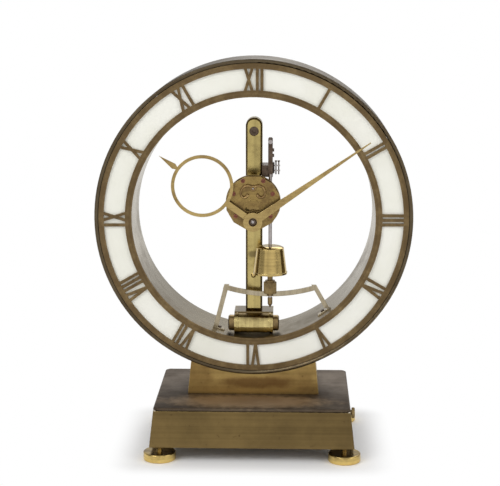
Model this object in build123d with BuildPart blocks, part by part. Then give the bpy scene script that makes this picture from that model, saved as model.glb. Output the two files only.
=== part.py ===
from build123d import *
import math
import os

# Skeleton table clock with an impulsed pendulum, in millimetres.
# X is to the right, Y to the back, Z up. The origin is on the table, under the middle of the base.

# Ring
ring_r = 125.0
ring_width = 29.3
ring_depth = 55.3
ring_front_y = -16.8
ring_lift = 16.3
outer_wall = 3.1
inner_wall = 1.6
rim_round = 1.2
back_ring_thickness = 1.5

# Chapter fret and its glass
fret_thickness = 1.6
fret_recess = 0.5
outer_rim_w = 7.4
inner_rim_w = 5.2
stroke_width = 2.3
stroke_pitch = 3.6
vee_width = 5.2
ex_width = 6.0
letter_gap = 1.3
glass_thickness = 3.0
retainer_thickness = 2.0
retainer_width = 3.6

# Base
base_top_w = 153.0
base_top_d = 115.2
base_bottom_w = 159.6
base_bottom_d = 119.6
base_bottom_z = 11.4
base_top_z = 42.5
base_wall = 2.0
lid_thickness = 2.5
lid_edge = 0.9
lid_corner = 3.0
lid_rabbet = 0.7
cover_thickness = 2.0
pillar_r = 3.5
pillar_gap = 11.2
screw_r = 1.5
screw_head_r = 2.6
screw_head_h = 1.4

# Feet
foot_r = 12.7
foot_disc_h = 6.6
foot_round = 1.0
foot_gap = 0.5
foot_stem_r = 2.2
foot_stem_top = 21.0
bush_r = 4.3
bush_h = 6.0

# Pedestal
pedestal_bottom_w = 104.6
pedestal_top_w = 99.3
pedestal_bottom_d = 54.6
pedestal_top_d = 51.8
pedestal_wall = 4.0
bolt_pitch = 60.0
bolt_r = 2.0
bolt_head_r = 3.6
bolt_head_h = 2.6

# Battery
battery_w = 67.0
battery_d = 62.0
battery_h = 21.0
tray_wall = 1.0
tray_lip = 8.0
tongue_w = 7.0
tongue_l = 16.0
tongue_t = 0.5
terminal_gap = 34.0

# Switch on the right-hand side
switch_y = -48.0
switch_z = 37.5
switch_r = 4.0
switch_h = 2.4
switch_stem_r = 1.2
switch_bush_r = 2.1
switch_bush_l = 8.0

# Post and coil housing
post_w = 13.2
post_d = 12.0
post_chamfer = 1.5
post_top_gap = 17.7
post_screw_drop = 10.8
post_screw_r = 3.6
post_screw_depth = 3.0
housing_w = 31.0
housing_h = 18.4
saddle_d = 17.0
barrel_r = 8.0
barrel_y = -1.0
barrel_rim = 0.5
barrel_rim_w = 1.6
coil_bore_r = 6.4
pole_r = 6.3
pole_l = 4.8
cheek_t = 2.0
core_r = 2.9
bobbin_wall = 0.9

# Pendulum
pendulum_x = 13.2
pendulum_y = -10.0
pivot_drop = 17.1
head_w = 3.4
head_d = 4.0
head_top = 2.4
head_length = 28.0
pin_r = 1.0
rod_r = 1.4
bob_top_r = 10.8
bob_bottom_r = 13.2
bob_rim_r = 13.6
bob_rim_h = 1.6
bob_lift = 51.8
bob_h = 22.2
bob_dome = 1.4
nut_r = 5.15
nut_neck_r = 2.1
nut_neck_h = 5.6
nut_flange_r = 3.9
nut_flange_h = 1.4
nut_body_h = 9.0
nut_collar_r = 3.0
nut_collar_h = 2.0
nut_knurls = 28
knurl_r = 0.28
nut_travel = 1.6
tip_r = 1.9
tip_h = 5.0
tip_point_h = 2.8

# Guard that the pendulum swings along
guard_lift = 33.5
guard_half_angle = 17.6
guard_h = 3.8
guard_t = 2.0
guard_y = -3.6
guard_left_foot_x = -32.4
guard_right_foot_x = 60.4
guard_foot_t = 1.2
guard_foot_w = 7.0
guard_foot_l = 9.0

# Suspension cock and contacts
cock_w = 3.6
cock_t = 3.0
cock_gap = 0.6
cock_over = 2.8
cock_foot_drop = 28.3
cock_foot_h = 9.2
cock_screw_drops = (11.4, 7.1)
cock_screw_r = 1.3
contact_block_w = 1.4
contact_block_d = 6.0
contact_block_h = 8.4
contact_drops = (23.2, 19.3)
contact_bar_l = 4.4
contact_bar_d = 1.8
contact_bar_h = 0.9
contact_pitch = 2.2
contact_screw_r = 0.5
contact_screw_l = 10.0

# Movement between two plates
plate_r = 21.5
plate_up = 13.9
plate_sides = 12
plate_t = 1.5
front_plate_y = -20.6
plate_gap = 3.7
plate_pillar_r = 1.7
plate_screw_r = 1.7
plate_screw_h = 0.9
mount_r = 2.3
rocker_up = 25.6
count_up = 13.2
window_up = 9.2
window_w = 12.4
window_h = 3.0
arbor_r = 0.6
pivot_r = 0.35
boss_r = 6.1
boss_t = 0.6

# Wheels
wheel_t = 0.6
layer_gap = 0.5
count_teeth = 60
count_r = 6.2
ratchet_depth = 0.45
first_pinion = 8
first_wheel = 64
first_module = 0.2
second_pinion = 6
second_wheel = 72
second_module = 0.19
cannon_teeth = 12
motion_teeth = 36
motion_module = 0.2
motion_pinion = 10
hour_teeth = 40

# Tooth shape: heights in modules, widths as shares of the pitch
tooth_tip_height = 0.7
tooth_root_depth = 1.2
tooth_foot_share = 0.46
tooth_land_share = 0.2

# Rocker
horn_t = 1.4
horn_y = -23.2
horn_w = 1.5
horn_x = 6.1
horn_drop = 3.2
horn_r = 3.5
horn_hub_r = 2.4
crutch_t = 1.0
crutch_w = 2.2
crutch_gap = 0.5
fork_up = 2.0
fork_clear = 0.35
fork_wall = 1.0
pallet_r = 8.2
pallet_angle = 50.0
pallet_w = 1.0

# Hands
hour_hand_y = -25.9
hour_hand_t = 0.9
minute_hand_y = -28.4
minute_hand_t = 1.0
hub_r = 7.4
hub_hole_r = 3.3
hub_hole_depth = 1.4
hub_t = 1.9
minute_tip_gap = 15.3
minute_root_w = 6.6
minute_tip_w = 0.8
minute_angle = 55.5
hour_tip_gap = 6.9
hour_angle = -54.8
hour_circle_r = 24.2
spear_length = 16.5
hour_band = 2.6
hour_neck_w = 4.8
spear_w = 4.6
spear_shoulder = 2.6
hour_hub_r = 6.4
pipe_r = 1.7
minute_end_r = 1.4
minute_arbor_r = 0.8

# Clearances
seat_gap = 0.1
running_gap = 0.05
plate_clear = 0.3

# Places worked out from the sizes above
ring_inner_r = ring_r - ring_width
dial_z = base_top_z + ring_lift + ring_r
floor_z = dial_z - ring_inner_r
window_outer_r = ring_r - outer_rim_w
window_inner_r = ring_inner_r + inner_rim_w
ring_back_y = ring_front_y + ring_depth
ring_mid_y = ring_front_y + ring_depth / 2
fret_y = ring_front_y + fret_recess
glass_y = fret_y + fret_thickness
retainer_y = glass_y + glass_thickness
seat_r = ring_r - outer_wall - seat_gap
inner_seat_r = ring_inner_r + inner_wall + seat_gap
lid_z = base_top_z - lid_thickness
cover_top_z = base_bottom_z + cover_thickness
bush_top_z = cover_top_z + bush_h
post_front_y = ring_mid_y - post_d / 2
post_top_z = dial_z + ring_inner_r - post_top_gap
post_screw_z = post_top_z - post_screw_drop
housing_top_z = floor_z + housing_h
barrel_z = dial_z - math.sqrt(ring_inner_r**2 - (housing_w / 2) ** 2) + barrel_r + seat_gap
pivot_z = post_top_z - pivot_drop
bob_bottom_z = floor_z + bob_lift
bob_top_z = bob_bottom_z + bob_h
guard_r = pivot_z - floor_z - guard_lift
nut_top_z = bob_bottom_z
nut_bottom_z = nut_top_z - nut_neck_h - nut_flange_h - nut_body_h - nut_collar_h
tip_top_z = nut_bottom_z - nut_travel
back_plate_y = front_plate_y + plate_t + plate_gap
back_plate_back_y = back_plate_y + plate_t
count_y = front_plate_y + plate_t + plate_clear
first_y = count_y + wheel_t + layer_gap
second_y = first_y + wheel_t + layer_gap
first_distance = (first_pinion + first_wheel) * first_module / 2
second_distance = (second_pinion + second_wheel) * second_module / 2
middle_up = (second_distance**2 - first_distance**2 + count_up**2) / (2 * count_up)
middle_x = math.sqrt(second_distance**2 - middle_up**2)
motion_distance = (cannon_teeth + motion_teeth) * motion_module / 2
hour_module = 2 * motion_distance / (motion_pinion + hour_teeth)
motion_y = front_plate_y - plate_clear - wheel_t - layer_gap
hour_wheel_y = motion_y - wheel_t - layer_gap
crutch_y = back_plate_back_y + crutch_gap
cock_front_y = pendulum_y + head_d / 2 + cock_gap
cock_right = pendulum_x + cock_w / 2
minute_length = ring_r - minute_tip_gap
hour_length = ring_inner_r - hour_tip_gap
hour_circle_up = hour_length - spear_length - hour_circle_r

os.makedirs("parts", exist_ok=True)


def front_plane(y, x=0.0, z=dial_z):
    """Plane facing the viewer at depth y: its own x is X and its own y is Z, from the point (x, z)."""
    return Plane(origin=(x, y, z), x_dir=(1, 0, 0), z_dir=(0, -1, 0))


def save(piece, name):
    """Label one finished sub-part and write it to its own file."""
    piece.part.label = name
    export_step(piece.part, f"parts/{name}.step")


def polar(radius, degrees):
    """Point at a radius, the angle counted from the plane's own x axis."""
    return (radius * math.cos(math.radians(degrees)), radius * math.sin(math.radians(degrees)))


def tooth_points(teeth, module, phase):
    """Outline of a wheel with straight-flanked teeth, one of them centred on the phase angle."""
    root_r = teeth * module / 2 - tooth_root_depth * module
    top_r = teeth * module / 2 + tooth_tip_height * module
    step = 360 / teeth
    foot = step * tooth_foot_share / 2
    land = step * tooth_land_share / 2
    points = []
    for index in range(teeth):
        centre = phase + index * step
        points.append(polar(root_r, centre - foot))
        points.append(polar(top_r, centre - land))
        points.append(polar(top_r, centre + land))
        points.append(polar(root_r, centre + foot))
    return points


def ratchet_points(teeth, tip_r, depth):
    """Outline of a saw-toothed ratchet wheel."""
    step = 360 / teeth
    points = []
    for index in range(teeth):
        points.append(polar(tip_r - depth, index * step))
        points.append(polar(tip_r, index * step + step * 0.15))
    return points


def four_points(x, y):
    """The same point in all four quarters of the base."""
    return [(sx * x, sy * y) for sx in (-1, 1) for sy in (-1, 1)]


def case_half(bottom, top, z):
    """Half the sloping case's outside width, or depth, at a height."""
    return (bottom + (top - bottom) * (z - base_bottom_z) / (lid_z - base_bottom_z)) / 2


def inside_half(bottom, top, *heights):
    """Least half width, or depth, between the case's walls at some heights."""
    return min(case_half(bottom, top, z) for z in heights) - base_wall


foot_x = inside_half(base_bottom_w, base_top_w, cover_top_z, bush_top_z) - bush_r - foot_gap
foot_y = inside_half(base_bottom_d, base_top_d, cover_top_z, bush_top_z) - bush_r - foot_gap
pillar_x = inside_half(base_bottom_w, base_top_w, cover_top_z, lid_z) - pillar_r - pillar_gap
pillar_y = inside_half(base_bottom_d, base_top_d, cover_top_z, lid_z) - pillar_r - pillar_gap


# Ring


def make_outer_band():
    with BuildPart() as band:
        with BuildSketch(front_plane(ring_back_y)):
            Circle(ring_r)
            Circle(ring_r - outer_wall, mode=Mode.SUBTRACT)
        extrude(amount=ring_depth)
        front_edges = band.edges().group_by(Axis.Y)[0]
        fillet(front_edges, radius=min(rim_round, outer_wall * 0.4))
        with BuildSketch(Plane.XY):
            with Locations((-bolt_pitch / 2, ring_mid_y), (bolt_pitch / 2, ring_mid_y)):
                Circle(bolt_r + seat_gap)
        extrude(amount=dial_z, mode=Mode.SUBTRACT)
    save(band, "outer_band")


def make_inner_band():
    with BuildPart() as band:
        with BuildSketch(front_plane(ring_back_y)):
            Circle(ring_inner_r + inner_wall)
            Circle(ring_inner_r, mode=Mode.SUBTRACT)
        extrude(amount=ring_back_y - glass_y)
    save(band, "inner_band")


def make_back_ring():
    with BuildPart() as cover:
        with BuildSketch(front_plane(ring_back_y)):
            Circle(seat_r)
            Circle(inner_seat_r, mode=Mode.SUBTRACT)
        extrude(amount=back_ring_thickness)
    save(cover, "back_ring")


def make_dial_glass():
    with BuildPart() as glass:
        with BuildSketch(front_plane(glass_y)):
            Circle(seat_r)
            Circle(inner_seat_r, mode=Mode.SUBTRACT)
        extrude(amount=-glass_thickness)
    save(glass, "dial_glass")


def make_glass_retainer():
    with BuildPart() as retainer:
        with BuildSketch(front_plane(retainer_y)):
            Circle(seat_r)
            Circle(seat_r - retainer_width, mode=Mode.SUBTRACT)
        extrude(amount=-retainer_thickness)
    save(retainer, "glass_retainer")


def letter_width(letter):
    """Width of one numeral letter, over its strokes."""
    spread = {"I": 0.0, "V": vee_width, "X": ex_width}[letter]
    return spread + stroke_width


def letter_strokes(letter):
    """Each stroke as its sideways place at the inner edge and at the outer edge."""
    if letter == "I":
        return [(0.0, 0.0)]
    if letter == "V":
        return [(0.0, -vee_width / 2), (0.0, vee_width / 2)]
    return [(-ex_width / 2, ex_width / 2), (ex_width / 2, -ex_width / 2)]


def numeral_strokes(numeral):
    """Strokes of a whole numeral, centred, from left to right."""
    places = []
    cursor = 0.0
    previous = ""
    for letter in numeral:
        if previous:
            both_single = previous == "I" and letter == "I"
            cursor += stroke_pitch - stroke_width if both_single else letter_gap
        middle = cursor + letter_width(letter) / 2
        places += [(middle + inner, middle + outer) for inner, outer in letter_strokes(letter)]
        cursor += letter_width(letter)
        previous = letter
    return [(inner - cursor / 2, outer - cursor / 2) for inner, outer in places]


numerals = ["XII", "I", "II", "III", "IV", "V", "VI", "VII", "VIII", "IX", "X", "XI"]


def make_chapter_fret():
    root = window_inner_r - stroke_width / 2
    top = window_outer_r + stroke_width / 2
    half = stroke_width / 2
    with BuildPart() as fret:
        with BuildSketch(front_plane(fret_y)):
            Circle(seat_r)
            Circle(window_outer_r, mode=Mode.SUBTRACT)
        with BuildSketch(front_plane(fret_y)):
            Circle(window_inner_r)
            Circle(ring_inner_r, mode=Mode.SUBTRACT)
        for hour, numeral in enumerate(numerals):
            with BuildSketch(front_plane(fret_y)):
                with Locations(Rotation(0, 0, -30 * hour)):
                    for inner, outer in numeral_strokes(numeral):
                        Polygon(
                            (inner - half, root),
                            (inner + half, root),
                            (outer + half, top),
                            (outer - half, top),
                            align=None,
                        )
        extrude(amount=-fret_thickness)
    save(fret, "chapter_fret")


# Base


def make_base_case():
    height = lid_z - base_bottom_z
    wall = 2 * base_wall
    with BuildPart() as case:
        with BuildSketch(Plane.XY.offset(base_bottom_z)):
            Rectangle(base_bottom_w, base_bottom_d)
        with BuildSketch(Plane.XY.offset(lid_z)):
            Rectangle(base_top_w, base_top_d)
        loft(ruled=True)
        with BuildSketch(Plane.XY.offset(base_bottom_z)):
            Rectangle(base_bottom_w - wall, base_bottom_d - wall)
        with BuildSketch(Plane.XY.offset(lid_z)):
            Rectangle(base_top_w - wall, base_top_d - wall)
        loft(ruled=True, mode=Mode.SUBTRACT)
        upright = case.edges().filter_by(lambda edge: height * 0.9 < edge.length < height * 1.1)
        outside = upright.sort_by(lambda edge: abs(edge.center().X) + abs(edge.center().Y))[-4:]
        fillet(outside, radius=min(rim_round, base_wall * 0.6))
        with BuildSketch(Plane(origin=(0, switch_y, switch_z), x_dir=(0, 1, 0), z_dir=(1, 0, 0))):
            Circle(switch_bush_r + seat_gap)
        extrude(amount=base_bottom_w, mode=Mode.SUBTRACT)
    save(case, "base_case")


def make_base_lid():
    with BuildPart() as lid:
        with BuildSketch(Plane.XY.offset(lid_z + lid_rabbet)) as plate:
            Rectangle(base_top_w, base_top_d)
            chamfer(plate.vertices(), length=lid_corner)
        extrude(amount=lid_thickness - lid_rabbet)
        chamfer(lid.edges().group_by(Axis.Z)[-1], length=lid_edge)
        with BuildSketch(Plane.XY.offset(lid_z)) as step:
            Rectangle(base_top_w - base_wall, base_top_d - base_wall)
            chamfer(step.vertices(), length=lid_corner)
        extrude(amount=lid_rabbet)
        with Locations((-bolt_pitch / 2, ring_mid_y, base_top_z), (bolt_pitch / 2, ring_mid_y, base_top_z)):
            Hole(bolt_r + seat_gap, depth=lid_thickness)
    save(lid, "base_lid")


def make_bottom_cover():
    half_w = inside_half(base_bottom_w, base_top_w, base_bottom_z, cover_top_z) - plate_clear
    half_d = inside_half(base_bottom_d, base_top_d, base_bottom_z, cover_top_z) - plate_clear
    with BuildPart() as cover:
        with BuildSketch(Plane.XY.offset(base_bottom_z)):
            Rectangle(2 * half_w, 2 * half_d)
            with Locations(*four_points(pillar_x, pillar_y)):
                Circle(screw_r + seat_gap, mode=Mode.SUBTRACT)
            with Locations(*four_points(foot_x, foot_y)):
                Circle(foot_stem_r + plate_clear, mode=Mode.SUBTRACT)
        extrude(amount=cover_thickness)
    save(cover, "bottom_cover")


def make_tie_pillars():
    with BuildPart() as pillars:
        with BuildSketch(Plane.XY.offset(cover_top_z)):
            with Locations(*four_points(pillar_x, pillar_y)):
                RegularPolygon(pillar_r, 6)
                Circle(screw_r, mode=Mode.SUBTRACT)
        extrude(amount=lid_z - cover_top_z)
    save(pillars, "tie_pillars")


def make_bottom_screws():
    with BuildPart() as screws:
        with BuildSketch(Plane.XY.offset(base_bottom_z)):
            with Locations(*four_points(pillar_x, pillar_y)):
                Circle(screw_head_r)
        extrude(amount=-screw_head_h)
        with BuildSketch(Plane.XY.offset(base_bottom_z - screw_head_h)):
            with Locations(*four_points(pillar_x, pillar_y)):
                Rectangle(2 * screw_head_r, screw_head_h / 3)
        extrude(amount=screw_head_h / 2, mode=Mode.SUBTRACT)
        with BuildSketch(Plane.XY.offset(base_bottom_z)):
            with Locations(*four_points(pillar_x, pillar_y)):
                Circle(screw_r - seat_gap / 2)
        extrude(amount=cover_thickness + 4 * screw_r)
    save(screws, "bottom_screws")


def make_foot_bushes():
    with BuildPart() as bushes:
        with BuildSketch(Plane.XY.offset(cover_top_z)):
            with Locations(*four_points(foot_x, foot_y)):
                Circle(bush_r)
                Circle(foot_stem_r + running_gap, mode=Mode.SUBTRACT)
        extrude(amount=bush_h)
    save(bushes, "foot_bushes")


def make_feet():
    sides = {"left": -1, "right": 1}
    ends = {"front": -1, "rear": 1}
    for end, sy in ends.items():
        for side, sx in sides.items():
            here = [(sx * foot_x, sy * foot_y)]
            with BuildPart() as foot:
                with BuildSketch(Plane.XY):
                    with Locations(*here):
                        Circle(foot_r)
                extrude(amount=foot_disc_h)
                fillet(foot.edges().group_by(Axis.Z)[-1], radius=foot_round)
                fillet(foot.edges().group_by(Axis.Z)[0], radius=foot_round)
                with BuildSketch(Plane.XY.offset(foot_disc_h)):
                    with Locations(*here):
                        Circle(foot_stem_r)
                extrude(amount=foot_stem_top - foot_disc_h)
            save(foot, f"{end}_{side}_foot")


def make_battery():
    bottom = cover_top_z + tray_wall
    with BuildPart() as tray:
        with BuildSketch(Plane.XY.offset(cover_top_z)):
            Rectangle(battery_w + 2 * tray_wall + 2 * seat_gap, battery_d + 2 * tray_wall + 2 * seat_gap)
        extrude(amount=tray_wall + tray_lip)
        with BuildSketch(Plane.XY.offset(bottom)):
            Rectangle(battery_w + 2 * seat_gap, battery_d + 2 * seat_gap)
        extrude(amount=tray_lip, mode=Mode.SUBTRACT)
    save(tray, "battery_tray")
    with BuildPart() as battery:
        with BuildSketch(Plane.XY.offset(bottom)):
            RectangleRounded(battery_w, battery_d, radius=battery_h * 0.2)
        extrude(amount=battery_h)
    save(battery, "battery_cell")
    with BuildPart() as tongues:
        with BuildSketch(Plane.XY.offset(bottom + battery_h)):
            with Locations((-terminal_gap / 2, -battery_d / 4), (terminal_gap / 2, -battery_d / 4)):
                Rectangle(tongue_w, tongue_l)
        extrude(amount=tongue_t)
    save(tongues, "battery_contacts")


def make_switch():
    bush_end = max(case_half(base_bottom_w, base_top_w, switch_z + side * switch_r) for side in (-1, 1))
    side = Plane(origin=(bush_end, switch_y, switch_z), x_dir=(0, 1, 0), z_dir=(1, 0, 0))
    with BuildPart() as bush:
        with BuildSketch(side):
            Circle(switch_bush_r)
            Circle(switch_stem_r + running_gap, mode=Mode.SUBTRACT)
        extrude(amount=-switch_bush_l)
    save(bush, "switch_bush")
    with BuildPart() as knob:
        with BuildSketch(side.offset(plate_clear)):
            Circle(switch_r)
        extrude(amount=switch_h)
        fillet(knob.edges().group_by(Axis.X)[-1], radius=switch_h * 0.25)
        with BuildSketch(side.offset(plate_clear + switch_h)):
            Rectangle(2 * switch_r, switch_r * 0.25)
        extrude(amount=-switch_h * 0.3, mode=Mode.SUBTRACT)
        with BuildSketch(side.offset(plate_clear)):
            Circle(switch_stem_r)
        extrude(amount=-switch_bush_l)
    save(knob, "switch_knob")


# Pedestal


def make_pedestal():
    top_z = dial_z - math.sqrt(ring_r**2 - (pedestal_top_w / 2) ** 2)
    pocket_top_z = dial_z - ring_r - pedestal_wall
    narrow = 2 * pedestal_wall
    with BuildPart() as pedestal:
        with BuildSketch(Plane.XY.offset(base_top_z)):
            with Locations((0, ring_mid_y)):
                Rectangle(pedestal_bottom_w, pedestal_bottom_d)
        with BuildSketch(Plane.XY.offset(top_z)):
            with Locations((0, ring_mid_y)):
                Rectangle(pedestal_top_w, pedestal_top_d)
        loft(ruled=True)
        with BuildSketch(front_plane(ring_mid_y - pedestal_bottom_d)):
            Circle(ring_r + seat_gap / 2)
        extrude(amount=-2 * pedestal_bottom_d, mode=Mode.SUBTRACT)
        with BuildSketch(Plane.XY.offset(base_top_z)):
            with Locations((0, ring_mid_y)):
                Rectangle(pedestal_top_w - narrow, pedestal_top_d - narrow)
        extrude(amount=pocket_top_z - base_top_z, mode=Mode.SUBTRACT)
        with BuildSketch(Plane.XY.offset(base_top_z)):
            with Locations((-bolt_pitch / 2, ring_mid_y), (bolt_pitch / 2, ring_mid_y)):
                Circle(bolt_r + seat_gap)
        extrude(amount=dial_z - base_top_z, mode=Mode.SUBTRACT)
    save(pedestal, "pedestal")


def make_pedestal_bolts():
    places = [(-bolt_pitch / 2, ring_mid_y), (bolt_pitch / 2, ring_mid_y)]
    band_r = ring_r - outer_wall
    nut_side = bolt_pitch / 2 + bolt_head_r
    nut_z = dial_z - math.sqrt(band_r**2 - nut_side**2) + seat_gap
    with BuildPart() as bolts:
        with BuildSketch(Plane.XY.offset(lid_z - bolt_head_h)):
            with Locations(*places):
                RegularPolygon(bolt_head_r, 6)
        extrude(amount=bolt_head_h)
        with BuildSketch(Plane.XY.offset(lid_z)):
            with Locations(*places):
                Circle(bolt_r)
        extrude(amount=nut_z + bolt_head_h - lid_z)
        with BuildSketch(Plane.XY.offset(nut_z)):
            with Locations(*places):
                RegularPolygon(bolt_head_r, 6)
        extrude(amount=bolt_head_h)
    save(bolts, "pedestal_bolts")


# Post and coil


def make_clock_post():
    height = post_top_z - housing_top_z
    half = post_w / 2
    with BuildPart() as post:
        with BuildSketch(front_plane(post_front_y, z=housing_top_z)):
            with Locations((0, (height - half) / 2)):
                Rectangle(post_w, height - half)
            with Locations((0, height - half)):
                Circle(half)
        extrude(amount=-post_d)
        with BuildSketch(front_plane(post_front_y, z=post_screw_z)):
            Circle(post_screw_r + seat_gap)
        extrude(amount=-post_screw_depth, mode=Mode.SUBTRACT)
        chamfer(post.faces().sort_by(Axis.Y)[0].outer_wire().edges(), length=post_chamfer)
    save(post, "clock_post")


def make_post_screw():
    head_h = post_screw_depth * 0.7
    with BuildPart() as screw:
        with BuildSketch(front_plane(post_front_y + post_screw_depth, z=post_screw_z)):
            Circle(post_screw_r)
        extrude(amount=head_h)
        with BuildSketch(front_plane(post_front_y + post_screw_depth - head_h, z=post_screw_z)):
            RegularPolygon(post_screw_r * 0.55, 6)
        extrude(amount=-head_h * 0.7, mode=Mode.SUBTRACT)
    save(screw, "post_screw")


def make_coil_housing():
    side = Plane(origin=(-housing_w / 2, 0, 0), x_dir=(0, 1, 0), z_dir=(1, 0, 0))
    saddle_front = barrel_y
    with BuildPart() as housing:
        with BuildSketch(side):
            with Locations((saddle_front + saddle_d / 2 + barrel_r / 4, (barrel_z + housing_top_z) / 2)):
                Rectangle(saddle_d + barrel_r / 2, housing_top_z - barrel_z)
            with Locations((saddle_front + saddle_d / 2 + barrel_r / 4, barrel_z - barrel_r / 2)):
                Rectangle(saddle_d + barrel_r / 2, barrel_r)
            with Locations((barrel_y, barrel_z)):
                Circle(barrel_r)
        extrude(amount=housing_w)
        for start in (-housing_w / 2 + barrel_rim_w, housing_w / 2 - 2 * barrel_rim_w):
            with BuildSketch(Plane(origin=(start, 0, 0), x_dir=(0, 1, 0), z_dir=(1, 0, 0))):
                with Locations((barrel_y, barrel_z)):
                    Circle(barrel_r + barrel_rim)
                    Circle(barrel_r - barrel_rim, mode=Mode.SUBTRACT)
                with Locations((barrel_y + barrel_r, barrel_z)):
                    Rectangle(2 * barrel_r, 4 * barrel_r, mode=Mode.SUBTRACT)
                with Locations((barrel_y, barrel_z - barrel_r)):
                    Rectangle(4 * barrel_r, barrel_r, mode=Mode.SUBTRACT)
            extrude(amount=barrel_rim_w)
        with BuildSketch(front_plane(ring_front_y)):
            Circle(ring_inner_r - seat_gap / 2)
        extrude(amount=-ring_depth, mode=Mode.INTERSECT)
        with BuildSketch(side):
            with Locations((barrel_y, barrel_z)):
                Circle(coil_bore_r)
        extrude(amount=housing_w, mode=Mode.SUBTRACT)
    save(housing, "coil_housing")


def make_coil():
    half = housing_w / 2
    centre = (0, barrel_y, barrel_z)
    side = Plane(origin=centre, x_dir=(0, 1, 0), z_dir=(1, 0, 0))
    tube_r = core_r + bobbin_wall
    with BuildPart() as bobbin:
        with BuildSketch(side.offset(-half)):
            Circle(tube_r)
        extrude(amount=housing_w)
        for start in (-half, half - cheek_t):
            with BuildSketch(side.offset(start)):
                Circle(coil_bore_r - seat_gap)
            extrude(amount=cheek_t)
        with BuildSketch(side.offset(-half)):
            Circle(core_r + running_gap)
        extrude(amount=housing_w, mode=Mode.SUBTRACT)
    save(bobbin, "coil_bobbin")
    with BuildPart() as winding:
        with BuildSketch(side.offset(-half + cheek_t)):
            Circle(coil_bore_r - 3 * seat_gap)
            Circle(tube_r, mode=Mode.SUBTRACT)
        extrude(amount=housing_w - 2 * cheek_t)
    save(winding, "coil_winding")
    with BuildPart() as core:
        with BuildSketch(side.offset(-half)):
            Circle(core_r)
        extrude(amount=housing_w)
        for start in (-half - pole_l, half):
            with BuildSketch(side.offset(start)):
                Circle(pole_r)
            extrude(amount=pole_l)
        ends = core.faces().filter_by(Axis.X).group_by(Axis.X)
        outer_edges = ends[0].edges() + ends[-1].edges()
        chamfer(outer_edges, length=pole_l * 0.2)
    save(core, "coil_core")


def floor_point(x, radius):
    """Point low on a circle about the dial's centre, at a sideways place."""
    return (x, -math.sqrt(radius**2 - x**2))


def make_swing_guard():
    up = pivot_z - dial_z
    inner = guard_r - guard_h / 2
    outer = guard_r + guard_h / 2
    edge = math.sin(math.radians(guard_half_angle))
    drop = math.cos(math.radians(guard_half_angle))
    floor_r = ring_inner_r - seat_gap / 2
    feet = {-1: guard_left_foot_x, 1: guard_right_foot_x}
    with BuildPart() as guard:
        with BuildSketch(front_plane(guard_y)):
            with BuildLine():
                ends = [(pendulum_x + s * inner * edge, up - inner * drop) for s in (-1, 1)]
                outs = [(pendulum_x + s * outer * edge, up - outer * drop) for s in (-1, 1)]
                ThreePointArc(ends[0], (pendulum_x, up - inner), ends[1])
                ThreePointArc(outs[0], (pendulum_x, up - outer), outs[1])
                Line(ends[0], outs[0])
                Line(ends[1], outs[1])
            make_face()
            for sign, foot_x in feet.items():
                toe_x, toe_z = floor_point(foot_x, floor_r - guard_foot_t / 2)
                top = (pendulum_x + sign * inner * edge, up - inner * drop)
                back = sign * guard_h
                Polygon(top, (top[0] - back, top[1]), (toe_x - back, toe_z), (toe_x, toe_z), align=None)
        extrude(amount=-guard_t)
        for sign, foot_x in feet.items():
            xs = (foot_x, foot_x - sign * guard_foot_l / 2, foot_x - sign * guard_foot_l)
            with BuildSketch(front_plane(guard_y)):
                with BuildLine():
                    low = [floor_point(x, floor_r) for x in xs]
                    high = [floor_point(x, floor_r - guard_foot_t) for x in xs]
                    ThreePointArc(*low)
                    ThreePointArc(*high)
                    Line(low[0], high[0])
                    Line(low[2], high[2])
                make_face()
            extrude(amount=-guard_foot_w)
        for place in guard_screw_places():
            with BuildSketch(place):
                Circle(screw_r * 0.6)
            extrude(amount=guard_h, both=True, mode=Mode.SUBTRACT)
    save(guard, "swing_guard")


def guard_screw_places():
    """Planes on the ring's inner floor, facing its centre, one for each foot of the guard."""
    places = []
    y = guard_y + (guard_foot_w + guard_t) / 2
    for x in (guard_left_foot_x + guard_foot_l / 2, guard_right_foot_x - guard_foot_l / 2):
        z = -math.sqrt(ring_inner_r**2 - x**2)
        normal = Vector(-x, 0, -z).normalized()
        places.append(Plane(origin=(x, y, dial_z + z), x_dir=(0, 1, 0), z_dir=normal))
    return places


def make_guard_screws():
    with BuildPart() as screws:
        for place in guard_screw_places():
            with BuildSketch(place.offset(guard_foot_t + seat_gap)):
                Circle(screw_r)
            extrude(amount=screw_head_h * 0.6)
            with BuildSketch(place.offset(guard_foot_t + seat_gap)):
                Circle(screw_r * 0.5)
            extrude(amount=-guard_foot_t)
    save(screws, "guard_screws")


# Suspension and contacts


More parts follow.
